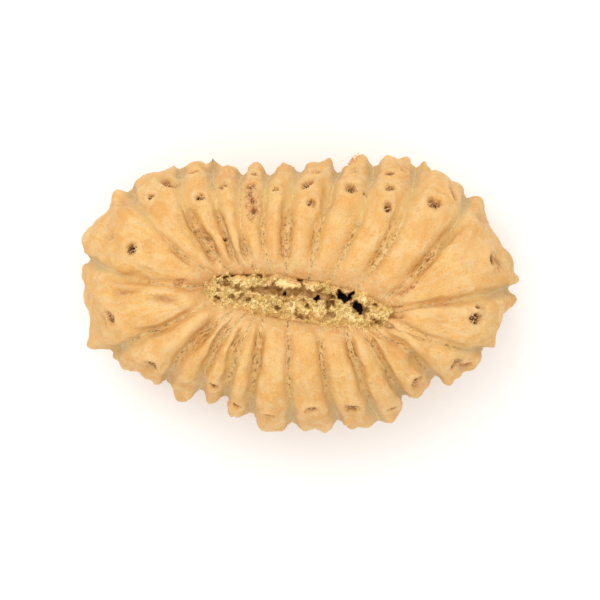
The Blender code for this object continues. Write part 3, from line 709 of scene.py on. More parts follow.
def run_tree(tree, obj, sizes):
    modifier = obj.modifiers.new(tree.name, "NODES")
    modifier.node_group = tree
    for item in tree.interface.items_tree:
        if item.in_out == "INPUT" and item.name in sizes:
            modifier[item.identifier] = sizes[item.name]
    graph = bpy.context.evaluated_depsgraph_get()
    graph.update()
    shaped = obj.evaluated_get(graph)
    mesh = bpy.data.meshes.new_from_object(shaped, preserve_all_data_layers=True, depsgraph=graph)
    obj.modifiers.remove(modifier)
    return mesh


def object_of(name, data):
    obj = bpy.data.objects.new(name, data)
    bpy.context.scene.collection.objects.link(obj)
    return obj


print("node tools ready")

# %% [markdown]
# ## Finishes as coats
# A finish is built up like paint: a ground colour, then thin coats, each with a share from 0 to 1 that says
# how much of it shows. A coat is one row of a table: a colour, a strength, and one or more fades that are
# multiplied. A fade names a noise or an attribute and two of its values, between which the share goes from 0
# to 1, or from one other share to another where the row has two more numbers. A picture wrapped round the
# stone would stretch and blur, but coats stay sharp at any size. They are read from attributes and object
# coordinates, so they stay put on the stone from every side.

# %% A bench for materials
MIX_SHARE, MIX_UNDER, MIX_PAINT, MIX_RESULT = 0, 6, 7, 2
ATTRIBUTE_VECTOR, ATTRIBUTE_NUMBER = 1, 2


class SkinBench(Bench):
    def mix(self, share, under, paint):
        settings = {"data_type": "RGBA", "blend_type": "MIX", "clamp_factor": True}
        inputs = {MIX_SHARE: share, MIX_UNDER: under, MIX_PAINT: paint}
        return self.node("ShaderNodeMix", settings, inputs, MIX_RESULT)

    def fade(self, of, name, start, end, share_at_start=0.0, share_at_end=1.0):
        fade = of[name].fades(start, end)
        if (share_at_start, share_at_end) == (0.0, 1.0):
            return fade
        return share_at_start + fade * (share_at_end - share_at_start)

    def share(self, of, strength, *fades):
        share = strength
        for fade in fades:
            share = share * self.fade(of, *fade)
        return share

    def coats(self, colour, of, rows):
        for paint, strength, *fades in rows:
            colour = self.mix(self.share(of, strength, *fades), colour, paint)
        return colour

    def read(self, name, output=ATTRIBUTE_NUMBER):
        return self.node("ShaderNodeAttribute", {"attribute_name": name}, {}, output)

    def finish(self, colour, roughness, bumps, specular):
        shader = self.node("ShaderNodeBsdfPrincipled", {}, {"Base Color": colour, "Roughness": roughness}, None)
        shader.inputs["Specular IOR Level"].default_value = specular
        normal = None
        for height, millimetres, strength in bumps:
            inputs = {"Height": height, "Distance": millimetres * MM, "Strength": strength}
            if normal is not None:
                inputs["Normal"] = normal
            normal = self.node("ShaderNodeBump", {}, inputs)
        self.tree.links.new(normal.socket, shader.inputs["Normal"])
        leave = self.tree.nodes.new("ShaderNodeOutputMaterial")
        self.tree.links.new(shader.outputs[0], leave.inputs["Surface"])


def new_skin(name):
    material = bpy.data.materials.new(name)
    material.use_nodes = True
    material.node_tree.nodes.clear()
    bench = SkinBench(material.node_tree)
    place = bench.node("ShaderNodeTexCoord", {}, {}, "Object")
    return material, bench, bench.scaled(place, 1 / MM)


print("material tools ready")

# %% [markdown]
# ## The colours and noises of the stone
# A dry rudraksha is matt and bone-like: tan, paler on the crests, orange in the hollows, and pinkish beside the
# slit. The patches of the ground colour come from noises of several sizes in space. Streaks follow the ribs instead,
# so their noises read the rib map, stretched along it. A noise is given by its size in millimetres, its detail and
# its roughness.

# %% Colours of the stone
TAN = (0.72, 0.405, 0.14, 1.0)
PALE = (0.79, 0.51, 0.225, 1.0)
ORANGE = (0.70, 0.355, 0.095, 1.0)
PINKISH = (0.74, 0.40, 0.17, 1.0)
# painted reflection: a grey-green sheen of grazing light near the outline of the upper side
SHEEN_GREY_GREEN = (0.57, 0.385, 0.18, 1.0)
# painted light: a paler, greyer band that lightens the shaded groove valleys
GROOVE_LIGHT_BAND = (0.68, 0.435, 0.16, 1.0)
TINT_ORANGE = (0.77, 0.39, 0.10, 1.0)
TINT_STRAW = (0.74, 0.49, 0.235, 1.0)
YELLOW_TAN = (0.79, 0.50, 0.18, 1.0)
DUST = (0.78, 0.58, 0.27, 1.0)
SEAM_PALE = (0.76, 0.54, 0.24, 1.0)
PRICK_DARK = (0.30, 0.13, 0.02, 1.0)
# dark brown of the grain and of the creases, in the creases partly painted shade
CREASE_BROWN_AND_SHADE = (0.25, 0.12, 0.025, 1.0)
HOLLOW_BROWN = (0.50, 0.24, 0.075, 1.0)
PIT_RED = (0.34, 0.12, 0.04, 1.0)
# painted shade: the dark inside of the pits and of the slit walls
DEPTH_SHADE_DARK = (0.06, 0.02, 0.008, 1.0)
# painted shadow: the blackest part deep in a pit
PIT_SHADOW_BLACK = (0.014, 0.006, 0.004, 1.0)
STAIN_RED = (0.36, 0.11, 0.045, 1.0)
print("palest", PALE[:3], "darkest", PIT_SHADOW_BLACK[:3])

# %% Noises and attributes of the stone
STONE_NOISES = {
    "patches": (3.2, 3.0), "yellows": (1.9, 2.0), "oranges": (1.4, 3.0), "mottle": (0.8, 4.0, 0.6),
    "grain": (0.14, 4.0, 0.65), "spotted": (0.9, 1.0), "scratched": (0.22, 4.0, 0.75),
    "dusty": (0.45, 3.0, 0.65), "levels": (2.4, 1.0), "peeled": (2.0, 1.0),
}
RIB_NOISES = {
    "streaks": ((1.0, 0.22, 1.0), 0.35, 3.0, 0.6), "tints": ((1.0, 0.4, 1.0), 0.55, 4.0, 0.65),
    "hatching": ((1.0, 0.3, 1.0), 0.15, 3.0, 0.7), "pepper": ((1.0, 0.5, 1.0), 0.15, 3.0, 0.75),
    "dashes": ((1.0, 0.7, 1.0), 0.32, 4.0, 0.75), "breaks": ((0.3, 1.0, 1.0), 1.6, 3.0),
}
STONE_ATTRIBUTES = ("out", "from_groove", "slit_depth", "pit", "hump", "crease", "hollow", "fold", "boss", "stain")
PIT_RAYS = (0.22, 3.0, 0.6)
RAY_SHARE = 1.1
TORN_GRAIN = 0.3
# the pit's painted shadow leans along this direction, by this share, broken by grain
PIT_SHADOW_LEAN = (0.6, 0.7, 0.2)
SHADOW_LEAN_SHARE = 0.5
PIT_SHADOW_GRAIN = 0.6
SPECKS_PER_MM = 1.6
LOWER_SIDE_REACH = ("sideways", 1.0, -4.0, 0.0, 0.3)
NEAR_SLIT = ("out", 0.28, 0.05)


def stone_sources(bench, place):
    rib_map = bench.node("ShaderNodeUVMap", {"uv_map": "rib_map"})
    of = {name: bench.noise(place, *sizes) for name, sizes in STONE_NOISES.items()}
    for name, (stretch, *sizes) in RIB_NOISES.items():
        of[name] = bench.noise(bench.vector("MULTIPLY", rib_map, stretch), *sizes)
    of.update({name: bench.read(name) for name in STONE_ATTRIBUTES})
    of["height"] = bench.axis(place, "Z")
    of["sideways"] = bench.axis(place, "Y")
    of["specks"] = bench.cells(place, SPECKS_PER_MM)
    of["near_slit"] = bench.fade(of, *NEAR_SLIT)
    of["dash_reach"] = of["out"] - bench.fade(of, *LOWER_SIDE_REACH)
    ray = bench.read("pit_ray", ATTRIBUTE_VECTOR)
    grain = of["grain"] - 0.5
    of["torn_pit"] = of["pit"] + (bench.noise(ray, *PIT_RAYS) - 0.5) * RAY_SHARE + grain * TORN_GRAIN
    # painted shadow deep in each pit, darker on one side of the hole
    of["pit_shadow"] = of["pit"] + bench.dot(ray, PIT_SHADOW_LEAN) * SHADOW_LEAN_SHARE + grain * PIT_SHADOW_GRAIN
    return of


# %% [markdown]
# ## Ground, grooves and creases
# The ground is a table of coats. Along each groove lies an orange hollow with a paler, duller band of painted light,
# which turns into a painted grey-green reflection at the outer end. In the creases the skin is dark and finely
# hatched, most of all near the slit, partly by its own colour and partly by painted shade. Torn hollows are brown,
# folds pale and bosses orange.

# %% Coats of the ground, the grooves and the creases
INNER_CREASE = ("out", 0.35, 0.7, 1.0, 0.15)
GROUND_COATS = (
    (PALE, 1.0, ("patches", 0.42, 0.6)),
    (YELLOW_TAN, 0.75, ("yellows", 0.46, 0.6)),
    (TINT_ORANGE, 0.75, ("tints", 0.5, 0.6)),
    (TINT_STRAW, 0.75, ("tints", 0.47, 0.37)),
    (ORANGE, 0.6, ("oranges", 0.5, 0.64)),
    (ORANGE, 0.45, ("mottle", 0.5, 0.66)),
    (PALE, 0.35, ("mottle", 0.48, 0.3)),
    (ORANGE, 0.2, ("streaks", 0.52, 0.72)),
    (CREASE_BROWN_AND_SHADE, 0.28, ("grain", 0.52, 0.68)),
    (PALE, 0.35, ("grain", 0.48, 0.3)),
    (PALE, 0.35, ("hump", 0.1, 0.7)),
)
GROOVE_COATS = (
    (ORANGE, 0.3, ("from_groove", 0.75, 0.05), ("out", 0.05, 0.3)),
    # painted light in the groove valleys, and a painted grey-green reflection near the outline
    (GROOVE_LIGHT_BAND, 0.65, ("from_groove", 0.7, 0.15), ("out", 0.4, 0.7), ("height", 6.0, 12.0, 0.35, 1.0)),
    (SHEEN_GREY_GREEN, 1.0, ("from_groove", 0.6, 0.1), ("out", 0.68, 0.92), ("height", 7.0, 11.0),
     ("patches", 0.35, 0.55, 0.4, 0.8)),
    (PINKISH, 0.35, NEAR_SLIT),
)
RELIEF_COATS = (
    # creases dark brown and hatched near the slit, partly their colour and partly painted shade
    (CREASE_BROWN_AND_SHADE, 0.25, ("crease", 0.1, 0.6), ("streaks", 0.44, 0.6), INNER_CREASE),
    (CREASE_BROWN_AND_SHADE, 0.8, ("crease", 0.12, 0.4), ("hatching", 0.5, 0.6), INNER_CREASE),
    (HOLLOW_BROWN, 0.45, ("hollow", 0.08, 0.5)),
    (PALE, 0.45, ("fold", 0.05, 0.3)),
    (ORANGE, 0.7, ("boss", 0.05, 0.2)),
)
print(len(GROUND_COATS), "coats of ground,", len(GROOVE_COATS), "of grooves,", len(RELIEF_COATS), "of relief")

# %% [markdown]
# ## Seams, scars and pits
# A thin pale seam lies along each groove, broken here and there, with dark dashes on it and pin-pricks beside it.
# The dashes reach farther out on the lower side of the seed. Scars are scratched and reddish. A pit has a reddish
# rim and a dark brown inside of painted shade, and its edge is torn: rays run out from its middle, as fibres do. Its
# blackest part is painted shadow, which leans to one side of the hole.

# %% Coats of the seams, scars and pits
DASHED = ("dash_reach", 0.35, 0.75, 1.0, 0.1)
PRICKS = (("from_groove", 0.02, 0.06), ("from_groove", 0.22, 0.08), ("pepper", 0.58, 0.68), DASHED)
SEAM = (("from_groove", 0.08, 0.025), ("breaks", 0.32, 0.5))
DASHES = (("from_groove", 0.06, 0.01), ("dashes", 0.5, 0.6), DASHED)
SEAM_COATS = ((PRICK_DARK, 0.85, *PRICKS), (SEAM_PALE, 0.75, *SEAM), (PRICK_DARK, 0.9, *DASHES))
SCAR_COATS = (
    (PIT_RED, 0.6, ("specks", 0.11, 0.05), ("spotted", 0.5, 0.58)),
    (STAIN_RED, 0.8, ("stain", 0.15, 0.6), ("scratched", 0.44, 0.58)),
    (STAIN_RED, 1.0, ("hollow", 0.3, 0.5), ("scratched", 0.42, 0.56, 0.15, 0.75)),
)
PIT_COATS = (
    (PALE, 0.3, ("pit", 1.0, 1.5), ("pit", 2.6, 1.7)),
    (PIT_RED, 0.7, ("torn_pit", 1.0, 0.7)),
    # painted shade inside the pit, and a blacker painted shadow to one side
    (DEPTH_SHADE_DARK, 0.85, ("torn_pit", 0.62, 0.45)),
    (PIT_SHADOW_BLACK, 0.95, ("pit_shadow", 0.62, 0.36)),
)
SLIT_COATS = (
    (DUST, 0.6, ("near_slit", 0.2, 0.9), ("dusty", 0.5, 0.62)),
    # painted shade: the slit walls darken with depth
    (DEPTH_SHADE_DARK, 0.9, ("slit_depth", 0.05, 1.2)),
)
print(len(SEAM_COATS), "coats of seams,", len(SCAR_COATS), "of scars,", len(PIT_COATS), "of pits")

# %% [markdown]
# ## The stone's finish
# All the coats go on in turn. Then the bump gives the skin its finest relief, which would take millions of
# faces in the mesh: terraces where the skin peeled in layers, two sizes of grain, streaks along the ribs, and
# the raised seams with their sunk dashes. Each bump has a height in millimetres and a strength.

# %% The stone's material
STONE_COATS = (GROUND_COATS, GROOVE_COATS, RELIEF_COATS, SEAM_COATS, SCAR_COATS, PIT_COATS, SLIT_COATS)
TERRACES = 16
PEELED = (("peeled", 0.42, 0.58), ("out", 0.3, 0.6))
STONE_ROUGHNESS = 0.56
MOTTLE_ROUGHNESS = 0.16
STONE_SPECULAR = 0.28


def stone_skin():
    material, bench, place = new_skin("rudraksha_stone")
    of = stone_sources(bench, place)
    colour = TAN
    for rows in STONE_COATS:
        colour = bench.coats(colour, of, rows)
    terraces = (of["levels"] * TERRACES).math("PINGPONG", 1.0)
    ridge = bench.share(of, 0.5, *SEAM) - bench.share(of, 0.8, *PRICKS) - bench.share(of, 0.6, *DASHES)
    bumps = (
        (bench.share(of, terraces, *PEELED), 0.05, 0.6),
        (of["mottle"], 0.22, 0.6),
        (of["grain"], 0.13, 0.7),
        (of["streaks"], 0.12, 0.45),
        (ridge, 0.12, 0.7),
    )
    bench.finish(colour, STONE_ROUGHNESS + of["mottle"] * MOTTLE_ROUGHNESS, bumps, STONE_SPECULAR)
    return material


STONE_SKIN = stone_skin()
print("made", STONE_SKIN.name, "with", len(STONE_SKIN.node_tree.nodes), "nodes")

# %% [markdown]
# ## Raising the ribs
# The ribs follow a rule: a rib rises from its groove over a short bevel, then stays full to the next
# groove. A Geometry Nodes tree holds that rule with named sizes, so the crown or the bevel can be tried
# again without touching the mesh. The same tree adds the humps, because they grow with the ribs.

# %% The tree that raises the ribs
RIB_SIZES = {
    "Rib Crown": 0.62,
    "Crown At Slit": 0.75,
    "Crown Start": 0.13,
    "Groove Bevel": 0.7,
    "Groove Sharpness": 1.5,
    "Material": STONE_SKIN,
}


def raise_ribs(bench, given):
    out = bench.named("out")
    ratio = bench.named("from_groove") / given["Groove Bevel"]
    bevel = 1 - ((ratio ** given["Groove Sharpness"]) * -1).math("EXPONENT")
    taper = given["Crown At Slit"] + (1 - given["Crown At Slit"]) * out
    start = (out / given["Crown Start"]).least(1.0)
    height = given["Rib Crown"] * bevel * start * taper + bench.named("hump")
    offset = bench.scaled(bench.named("way_out", "FLOAT_VECTOR"), height * MM)
    return bench.moved(given["Geometry"], offset)


body = object_of("ribbed_stone", body_mesh)
raised_mesh = run_tree(geometry_tree("raise_ribs", RIB_SIZES, raise_ribs), body, RIB_SIZES)
body.data = raised_mesh
print("raised", len(raised_mesh.vertices), "points")


# %% [markdown]
# ## Where the pits go
# A pit seen from above lies where a straight line down meets the surface, and the pits of the underside
# where a line from outside does. Casting rays finds both. The mesh is then cut finer round each pit only,
# because a pit is a millimetre wide and its wall has to be steep.

# %% Casting rays for the pits
RAY_HEIGHT = 0.1
STRAIGHT_DOWN = Vector((0.0, 0.0, -1.0))
STEEP_WIDENING = 0.7
UNDER_PIT_FROM = 1.6
UNDER_PIT_AIM = 0.2
UNDER_PIT_AIM_HEIGHT = -2.0


def surface_of(mesh):
    return BVHTree.FromPolygons([v.co for v in mesh.vertices], [p.vertices for p in mesh.polygons])


def seen_below(surface, x, y):
    start = Vector(((x + SHIFT[0]) * MM, (y + SHIFT[1]) * MM, RAY_HEIGHT))
    return surface.ray_cast(start, STRAIGHT_DOWN)[:2]


def find_pits(mesh):
    surface = surface_of(mesh)
    found = []
    for x, y, radius, depth in PITS + CRATER_PITS:
        point, normal = seen_below(surface, x, y)
        found.append((point, radius * (1 + STEEP_WIDENING * (1 - abs(normal.z))), depth))
    draw = random.Random(UNDER_PIT_SEED)
    for rib in range(RIBS):
        middle = (OUTER[rib] + OUTER[(rib + 1) % RIBS]) / 2
        start = np.array([*(middle * UNDER_PIT_FROM), draw.uniform(*UNDER_PIT_HEIGHT)]) + SHIFT
        aim = np.array([*(middle * UNDER_PIT_AIM), UNDER_PIT_AIM_HEIGHT]) + SHIFT
        point = surface.ray_cast(Vector(start * MM), Vector(aim - start).normalized())[0]
        found.append((point, draw.uniform(*UNDER_PIT_RADIUS), UNDER_PIT_DEPTH))
    return found


pit_list = find_pits(raised_mesh)
print(len(pit_list), "pits found")


# %% Cutting the mesh finer round the pits
FINE_REACH = 1.5


def refine_near_pits(mesh, pits):
    shape = bmesh.new()
    shape.from_mesh(mesh)
    edges = set()
    centres = np.array([tuple(point) for point, _, _ in pits])
    reach = np.array([radius * FINE_REACH * MM for _, radius, _ in pits])
    points = np.array([tuple(v.co) for v in shape.verts])
    shape.verts.ensure_lookup_table()
    for centre, limit in zip(centres, reach):
        for index in np.nonzero(np.linalg.norm(points - centre, axis=1) < limit)[0]:
            edges.update(shape.verts[index].link_edges)
    bmesh.ops.subdivide_edges(shape, edges=list(edges), cuts=1, use_grid_fill=True)
    bmesh.ops.triangulate(shape, faces=[f for f in shape.faces if len(f.verts) > 4])
    shape.to_mesh(mesh)
    shape.free()


refine_near_pits(raised_mesh, pit_list)
print(len(raised_mesh.polygons), "faces after refining")

# %% [markdown]
# ## Sinking the pits and wrinkling the skin
# The second tree reads the pits as a cloud of points that carry their radius and depth. Each point of the
# stone finds its nearest pit and sinks by a steep-walled profile. Two sizes of noise make the shallow
# wrinkles of the dried skin, longer folds follow the ribs, and round cells make knobs near the widest level.
# The surface also wavers sideways, because no seam of a grown stone is a drawn line. At last each point that
# would lie under the ground is lifted to it, as the seed rests on its lowest ribs.

# %% The pits as a cloud of points
def pit_cloud(pits):
    mesh = bpy.data.meshes.new("pit_places")
    mesh.from_pydata([point for point, _, _ in pits], [], [])
    named(mesh, "pit_radius", "FLOAT", np.array([radius for _, radius, _ in pits]))
    named(mesh, "pit_depth", "FLOAT", np.array([depth for _, _, depth in pits]))
    return object_of("pit_places", mesh)


def nearest_pit(bench, pits, place):
    cloud = bench.node("GeometryNodeObjectInfo", {}, {"Object": pits}, "Geometry")
    nearest = bench.node("GeometryNodeSampleNearest", {"domain": "POINT"}, {"Geometry": cloud})

    def of_pit(kind, value):
        settings = {"data_type": kind, "domain": "POINT"}
        return bench.node("GeometryNodeSampleIndex", settings, {"Geometry": cloud, "Value": value, "Index": nearest})

    centre = bench.scaled(of_pit("FLOAT_VECTOR", bench.node("GeometryNodeInputPosition")), 1 / MM)
    return centre, of_pit("FLOAT", bench.named("pit_radius")), of_pit("FLOAT", bench.named("pit_depth"))


PIT_PLACES = pit_cloud(pit_list)
print("pit cloud with", len(PIT_PLACES.data.vertices), "points")

# %% Heights of the worn surface
WEAR_SIZES = {
    "Pits": PIT_PLACES,
    "Rib Fold Height": 0.22,
    "Rim Trim": 0.1,
    "Rim Notch": 0.3,
    "Knob Height": 0.6,
    "Knob Size": 2.3,
    "Wrinkle Height": 0.14,
    "Fine Wrinkle Height": 0.09,
    "Waver": 0.35,
    "Pit Rim Height": 0.14,
    "Material": STONE_SKIN,
}
PIT_RAGS = (0.3, 3.0, 0.6)
PIT_RAG_SHARE = 0.9
PIT_FAR = 4.0
PIT_WALL = (0.5, 1.05)
PIT_RIM_RISE = (1.0, 1.5)
PIT_RIM_FALL = (1.6, 2.9)
SLIT_LIP = (0.0, 0.3)
ON_RIB = (0.05, 0.6)
IN_NOTCH = (0.0, 0.55)
FOLDS_OUT = (0.15, 0.5)
KNOBS_OUT = (0.8, 0.97)
WRINKLES_OUT = (0.1, 0.5)
RIM_OUT = (0.82, 0.98)
WAVER_OUT = (0.15, 0.6)
RIB_FOLD_STRETCH = (1.0, 0.42, 1.0)
RIB_FOLD_LENGTH = 1.25
KNOB_SMOOTHNESS = 0.35
KNOB_LEVEL = 0.42
KNOB_LEAST = -0.2
WRINKLE_LENGTH = 1.5
FINE_WRINKLES = (0.45, 3.0)
WAVER_LENGTH = 1 / 0.6


def knob_heights(bench, given, place):
    cells = bench.node("ShaderNodeTexVoronoi", {"feature": "SMOOTH_F1"}, {
        "Vector": place, "Scale": 1 / given["Knob Size"], "Smoothness": KNOB_SMOOTHNESS,
    }, "Distance")
    return (KNOB_LEVEL - cells).most(KNOB_LEAST) * given["Knob Height"]


def worn_height(bench, given, place, out):
    def swing(position, sizes, height):
        return (bench.noise(position, *sizes) - 0.5) * given[height] * 2

    from_groove = bench.named("from_groove")
    on_rib = from_groove.fades(*ON_RIB)
    stretched = bench.vector("MULTIPLY", bench.named("rib_place", "FLOAT_VECTOR"), RIB_FOLD_STRETCH)
    rib_folds = swing(stretched, (RIB_FOLD_LENGTH,), "Rib Fold Height") * on_rib * out.fades(*FOLDS_OUT)
    knobs = knob_heights(bench, given, place) * on_rib * out.fades(*KNOBS_OUT)
    wrinkles = swing(place, (WRINKLE_LENGTH,), "Wrinkle Height") + swing(place, FINE_WRINKLES, "Fine Wrinkle Height")
    at_rim = out.fades(*RIM_OUT)
    notch = (1 - from_groove.fades(*IN_NOTCH)) * at_rim * given["Rim Notch"]
    relief = bench.named("fold") + bench.named("boss") - bench.named("crease") - bench.named("hollow")
    return relief - notch - at_rim * given["Rim Trim"], rib_folds, knobs, wrinkles * out.fades(*WRINKLES_OUT)


# %% The tree that wears the surface
def sideways_waver(bench, place, normal):
    bend = bench.noise(place, WAVER_LENGTH, output="Color")
    aside = bench.vector("SUBTRACT", bend, (0.5, 0.5, 0.5))
    return bench.vector("SUBTRACT", aside, bench.scaled(normal, bench.dot(aside, normal)))


def above_ground(bench, geometry):
    position = bench.node("GeometryNodeInputPosition")
    axes = {name: bench.axis(position, name) for name in "XYZ"}
    axes["Z"] = axes["Z"].most(0.0)
    kept = bench.node("ShaderNodeCombineXYZ", {}, axes)
    return bench.node("GeometryNodeSetPosition", {}, {0: geometry, "Position": kept})


def wear_surface(bench, given):
    place = bench.place_in_mm()
    centre, radius, depth = nearest_pit(bench, given["Pits"], place)
    ragged = (bench.noise(place, *PIT_RAGS) - 0.5) * PIT_RAG_SHARE
    share = bench.vector("DISTANCE", place, centre, output="Value") / radius + ragged
    sink = (1 - share.fades(*PIT_WALL)) * depth
    rim = share.fades(*PIT_RIM_RISE) * (1 - share.fades(*PIT_RIM_FALL)) * given["Pit Rim Height"]

    on_skin = 1 - bench.named("slit_depth").fades(*SLIT_LIP)
    out = bench.named("out")
    normal = bench.node("GeometryNodeInputNormal")
    relief, rib_folds, knobs, wrinkles = worn_height(bench, given, place, out)
    height = (rim - sink + relief + rib_folds + knobs + wrinkles) * on_skin
    aside = given["Waver"] * 2 * out.fades(*WAVER_OUT) * on_skin * MM
    waver = bench.scaled(sideways_waver(bench, place, normal), aside)
    offset = bench.vector("ADD", bench.scaled(normal, height * MM), waver)

    ray = bench.vector("NORMALIZE", bench.vector("SUBTRACT", place, centre))
    kept = bench.stored(given["Geometry"], "pit", share.least(PIT_FAR))
    kept = bench.stored(kept, "pit_ray", ray, "FLOAT_VECTOR")
    return above_ground(bench, bench.moved(kept, offset))


final_mesh = run_tree(geometry_tree("wear_surface", WEAR_SIZES, wear_surface), body, WEAR_SIZES)
final_mesh.name = "ribbed_stone"
body.data = final_mesh
final_mesh.shade_smooth()
print("stone has", sum(len(p.vertices) - 2 for p in final_mesh.polygons), "triangles")

# %% [markdown]
# ## The dried pulp
# The slit is packed with the crumbly remains of the fruit, which have dried on over its lips too. It is
# modelled as a cake: a fine grid lies on the stone's own surface outside the slit and fills it inside. The
# cake's edge is a few places along the slit, each with how far it reaches above and below, torn by chance. A
# long crack with short side cracks runs along it, and black gaps open near one end.

# %% The cake's edge and its lumps
CAKE_EDGE = (
    (-7.8, 0.0, 0.1), (-7.3, 0.55, 0.9), (-6.6, 0.9, 1.5), (-5.0, 1.25, 1.45), (-3.0, 1.35, 1.3),
    (0.0, 1.25, 1.25), (3.5, 1.35, 1.3), (5.4, 0.95, 1.25), (6.4, 0.5, 1.05), (7.4, 0.35, 0.6), (7.9, 0.1, 0.1),
)
PULP_PITCH = 0.075
CAKE_MARGIN = 0.6
CAKE_THICKNESS = 0.2
CAKE_TUCK = 0.25
CAKE_LEAST = 0.1
CAKE_RAGS = 34
CAKE_RAG = 0.45
CAKE_EDGE_WIDTH = 0.35
CAKE_EDGE_LUMPS = 0.7
CAKE_OUTSIDE = -1.6
PULP_LUMPS = 520
PULP_LUMP_REACH = (0.16, 0.5)
PULP_LUMP_HEIGHT = 0.42
SMALL_LUMP_SHARE = 0.6
LUMP_MIDDLE = 0.4
PULP_SEED = 7
print(len(CAKE_EDGE), "places along the cake's edge,", PULP_LUMPS, "lumps")

# %% Cracks, gaps and pale lumps
CRACK = (
    (((-4.6, 0.2), (-3.2, 0.35), (-1.2, 0.45), (0.2, 0.75), (1.5, 0.55), (2.6, 0.8), (3.6, 0.95)), 0.3, 0.6),
    (((-2.6, 0.35), (-2.3, 0.9), (-1.9, 1.5)), 0.12, 0.45),
    (((0.0, 0.75), (0.3, 1.2), (-0.1, 1.7)), 0.14, 0.5),
    (((1.5, 0.55), (1.7, 1.1), (2.2, 1.5)), 0.14, 0.45),
    (((2.2, 0.6), (2.6, 0.0), (2.4, -0.6)), 0.13, 0.4),
    (((-6.4, 0.5), (-5.2, 0.1), (-4.4, 0.2)), 0.13, 0.35),
    (((-0.3, -0.5), (0.1, -1.2), (1.1, -1.3)), 0.12, 0.35),
    (((-5.0, -0.2), (-2.5, -0.1), (0.0, 0.2), (2.5, 0.1), (4.8, -0.2)), 0.35, 0.17),
)
BLACK_GAPS = (
    (3.5, 0.87, 0.6, 0.22, -46, 1.6), (4.15, 0.93, 0.5, 0.2, 59, 1.6), (5.0, 0.15, 0.6, 0.3, -41, 1.6),
    (3.85, 0.72, 0.35, 0.3, 0, 1.4), (4.55, 0.4, 0.2, 0.14, -40, 0.8), (1.55, 0.45, 0.22, 0.36, 0, 1.2),
    (-1.2, 0.3, 0.18, 0.24, 0, 1.0), (-0.05, 1.65, 0.25, 0.15, -30, 0.9), (2.7, 0.75, 0.3, 0.15, -20, 0.8),
    (-3.9, 0.3, 0.3, 0.12, 10, 0.6), (-6.2, 0.9, 0.2, 0.14, 30, 0.7), (-5.6, 1.3, 0.3, 0.16, 0, 0.7),
    (-6.6, -0.9, 0.24, 0.2, 0, 0.7), (-5.4, -0.5, 0.15, 0.12, 0, 0.6), (-4.0, -0.6, 0.2, 0.18, 0, 0.6),
    (-1.6, -0.9, 0.26, 0.14, 0, 0.6), (0.8, -0.4, 0.26, 0.14, 20, 0.6), (0.6, -1.4, 0.6, 0.1, 5, 0.5),
    (-4.6, 1.45, 0.3, 0.14, 0, 0.6), (-3.45, 1.5, 0.35, 0.12, 0, 0.6), (-6.7, 1.0, 0.25, 0.16, 20, 0.7),
    (2.9, 0.2, 0.3, 0.16, -30, 0.7), (6.3, 0.6, 0.24, 0.14, -20, 0.7), (6.6, -0.7, 0.3, 0.12, -20, 0.5),
)
PALE_LUMPS = (
    (-1.0, 1.15, 1.05, 0.4, 0, 0.35), (0.85, 1.15, 0.42, 0.36, 0, 0.3), (-2.6, 0.95, 0.34, 0.36, 0, 0.25),
    (-0.45, -0.6, 0.4, 0.5, 0, 0.25), (-4.9, 0.75, 0.8, 0.4, 0, 0.2), (1.6, -0.8, 0.35, 0.5, 10, 0.2),
    (4.6, -0.7, 0.5, 0.35, -20, 0.2), (5.4, 0.9, 0.3, 0.25, 0, 0.3),
)
GAP_WOBBLE = 0.07
GAP_WAVES = ((4, 9), (11, -5))
print(len(CRACK), "cracks,", len(BLACK_GAPS), "gaps,", len(PALE_LUMPS), "pale lumps")

# %% [markdown]
# ## The colour of the pulp
# Dried pulp is olive to straw yellow, with tan skin where it thins out over the lip, pale clods and brown pinholes.
# Brown painted shade lies in the crevices between the grains and low between the lumps, the walls of cracks and gaps
# turn brown with depth, partly by their colour and partly by painted shade, and black painted shade fills the bottom
# of the gaps. These coats work as on the stone, with the cake's own attributes.

# %% The pulp's material
OLIVE = (0.80, 0.58, 0.18, 1.0)
STRAW = (0.89, 0.68, 0.28, 1.0)
SKIN_TAN = (0.88, 0.56, 0.22, 1.0)
PALE_CLOD = (0.95, 0.72, 0.35, 1.0)
# brown of pinholes and grain, also painted shade between lumps, grains and in cracks
PULP_BROWN_AND_SHADE = (0.28, 0.12, 0.022, 1.0)
RUSSET = (0.45, 0.235, 0.08, 1.0)
# painted shade: black at the bottom of the gaps
GAP_SHADE_BLACK = (0.012, 0.008, 0.006, 1.0)
PULP_ROUGHNESS = 0.8
GRAIN_ROUGHNESS = 0.1
PULP_SPECULAR = 0.2
PULP_NOISES = {"patches": (0.7, 3.0), "tans": (1.1, 2.0), "grain": (0.13, 3.0, 0.7), "holes": (0.22, 2.0, 0.6)}
PULP_ATTRIBUTES = ("sunk", "crevice", "pale", "clod", "cover")
PULP_COATS = (
    (STRAW, 1.0, ("patches", 0.4, 0.6)),
    (SKIN_TAN, 0.7, ("tans", 0.5, 0.62)),
    (PALE_CLOD, 0.8, ("pale", 0.05, 0.2)),
    (SKIN_TAN, 0.5, ("cover", 1.0, 0.1)),
    # painted shade: brown low between the lumps and in the crevices between the grains
    (PULP_BROWN_AND_SHADE, 1.0, ("clod", 0.7, 0.3), ("cover", 0.1, 1.0, 0.15, 0.8)),
    (PULP_BROWN_AND_SHADE, 1.0, ("crevice", 0.45, 0.85), ("cover", 0.1, 1.0, 0.2, 0.55)),
    (PULP_BROWN_AND_SHADE, 0.8, ("holes", 0.62, 0.7), ("pale", 0.2, 0.05)),
    (PULP_BROWN_AND_SHADE, 0.7, ("grain", 0.54, 0.62)),
    (PALE_CLOD, 0.45, ("grain", 0.46, 0.38)),
)
WALL_COATS = ((RUSSET, 1.0, ("patches", 0.42, 0.58)),)
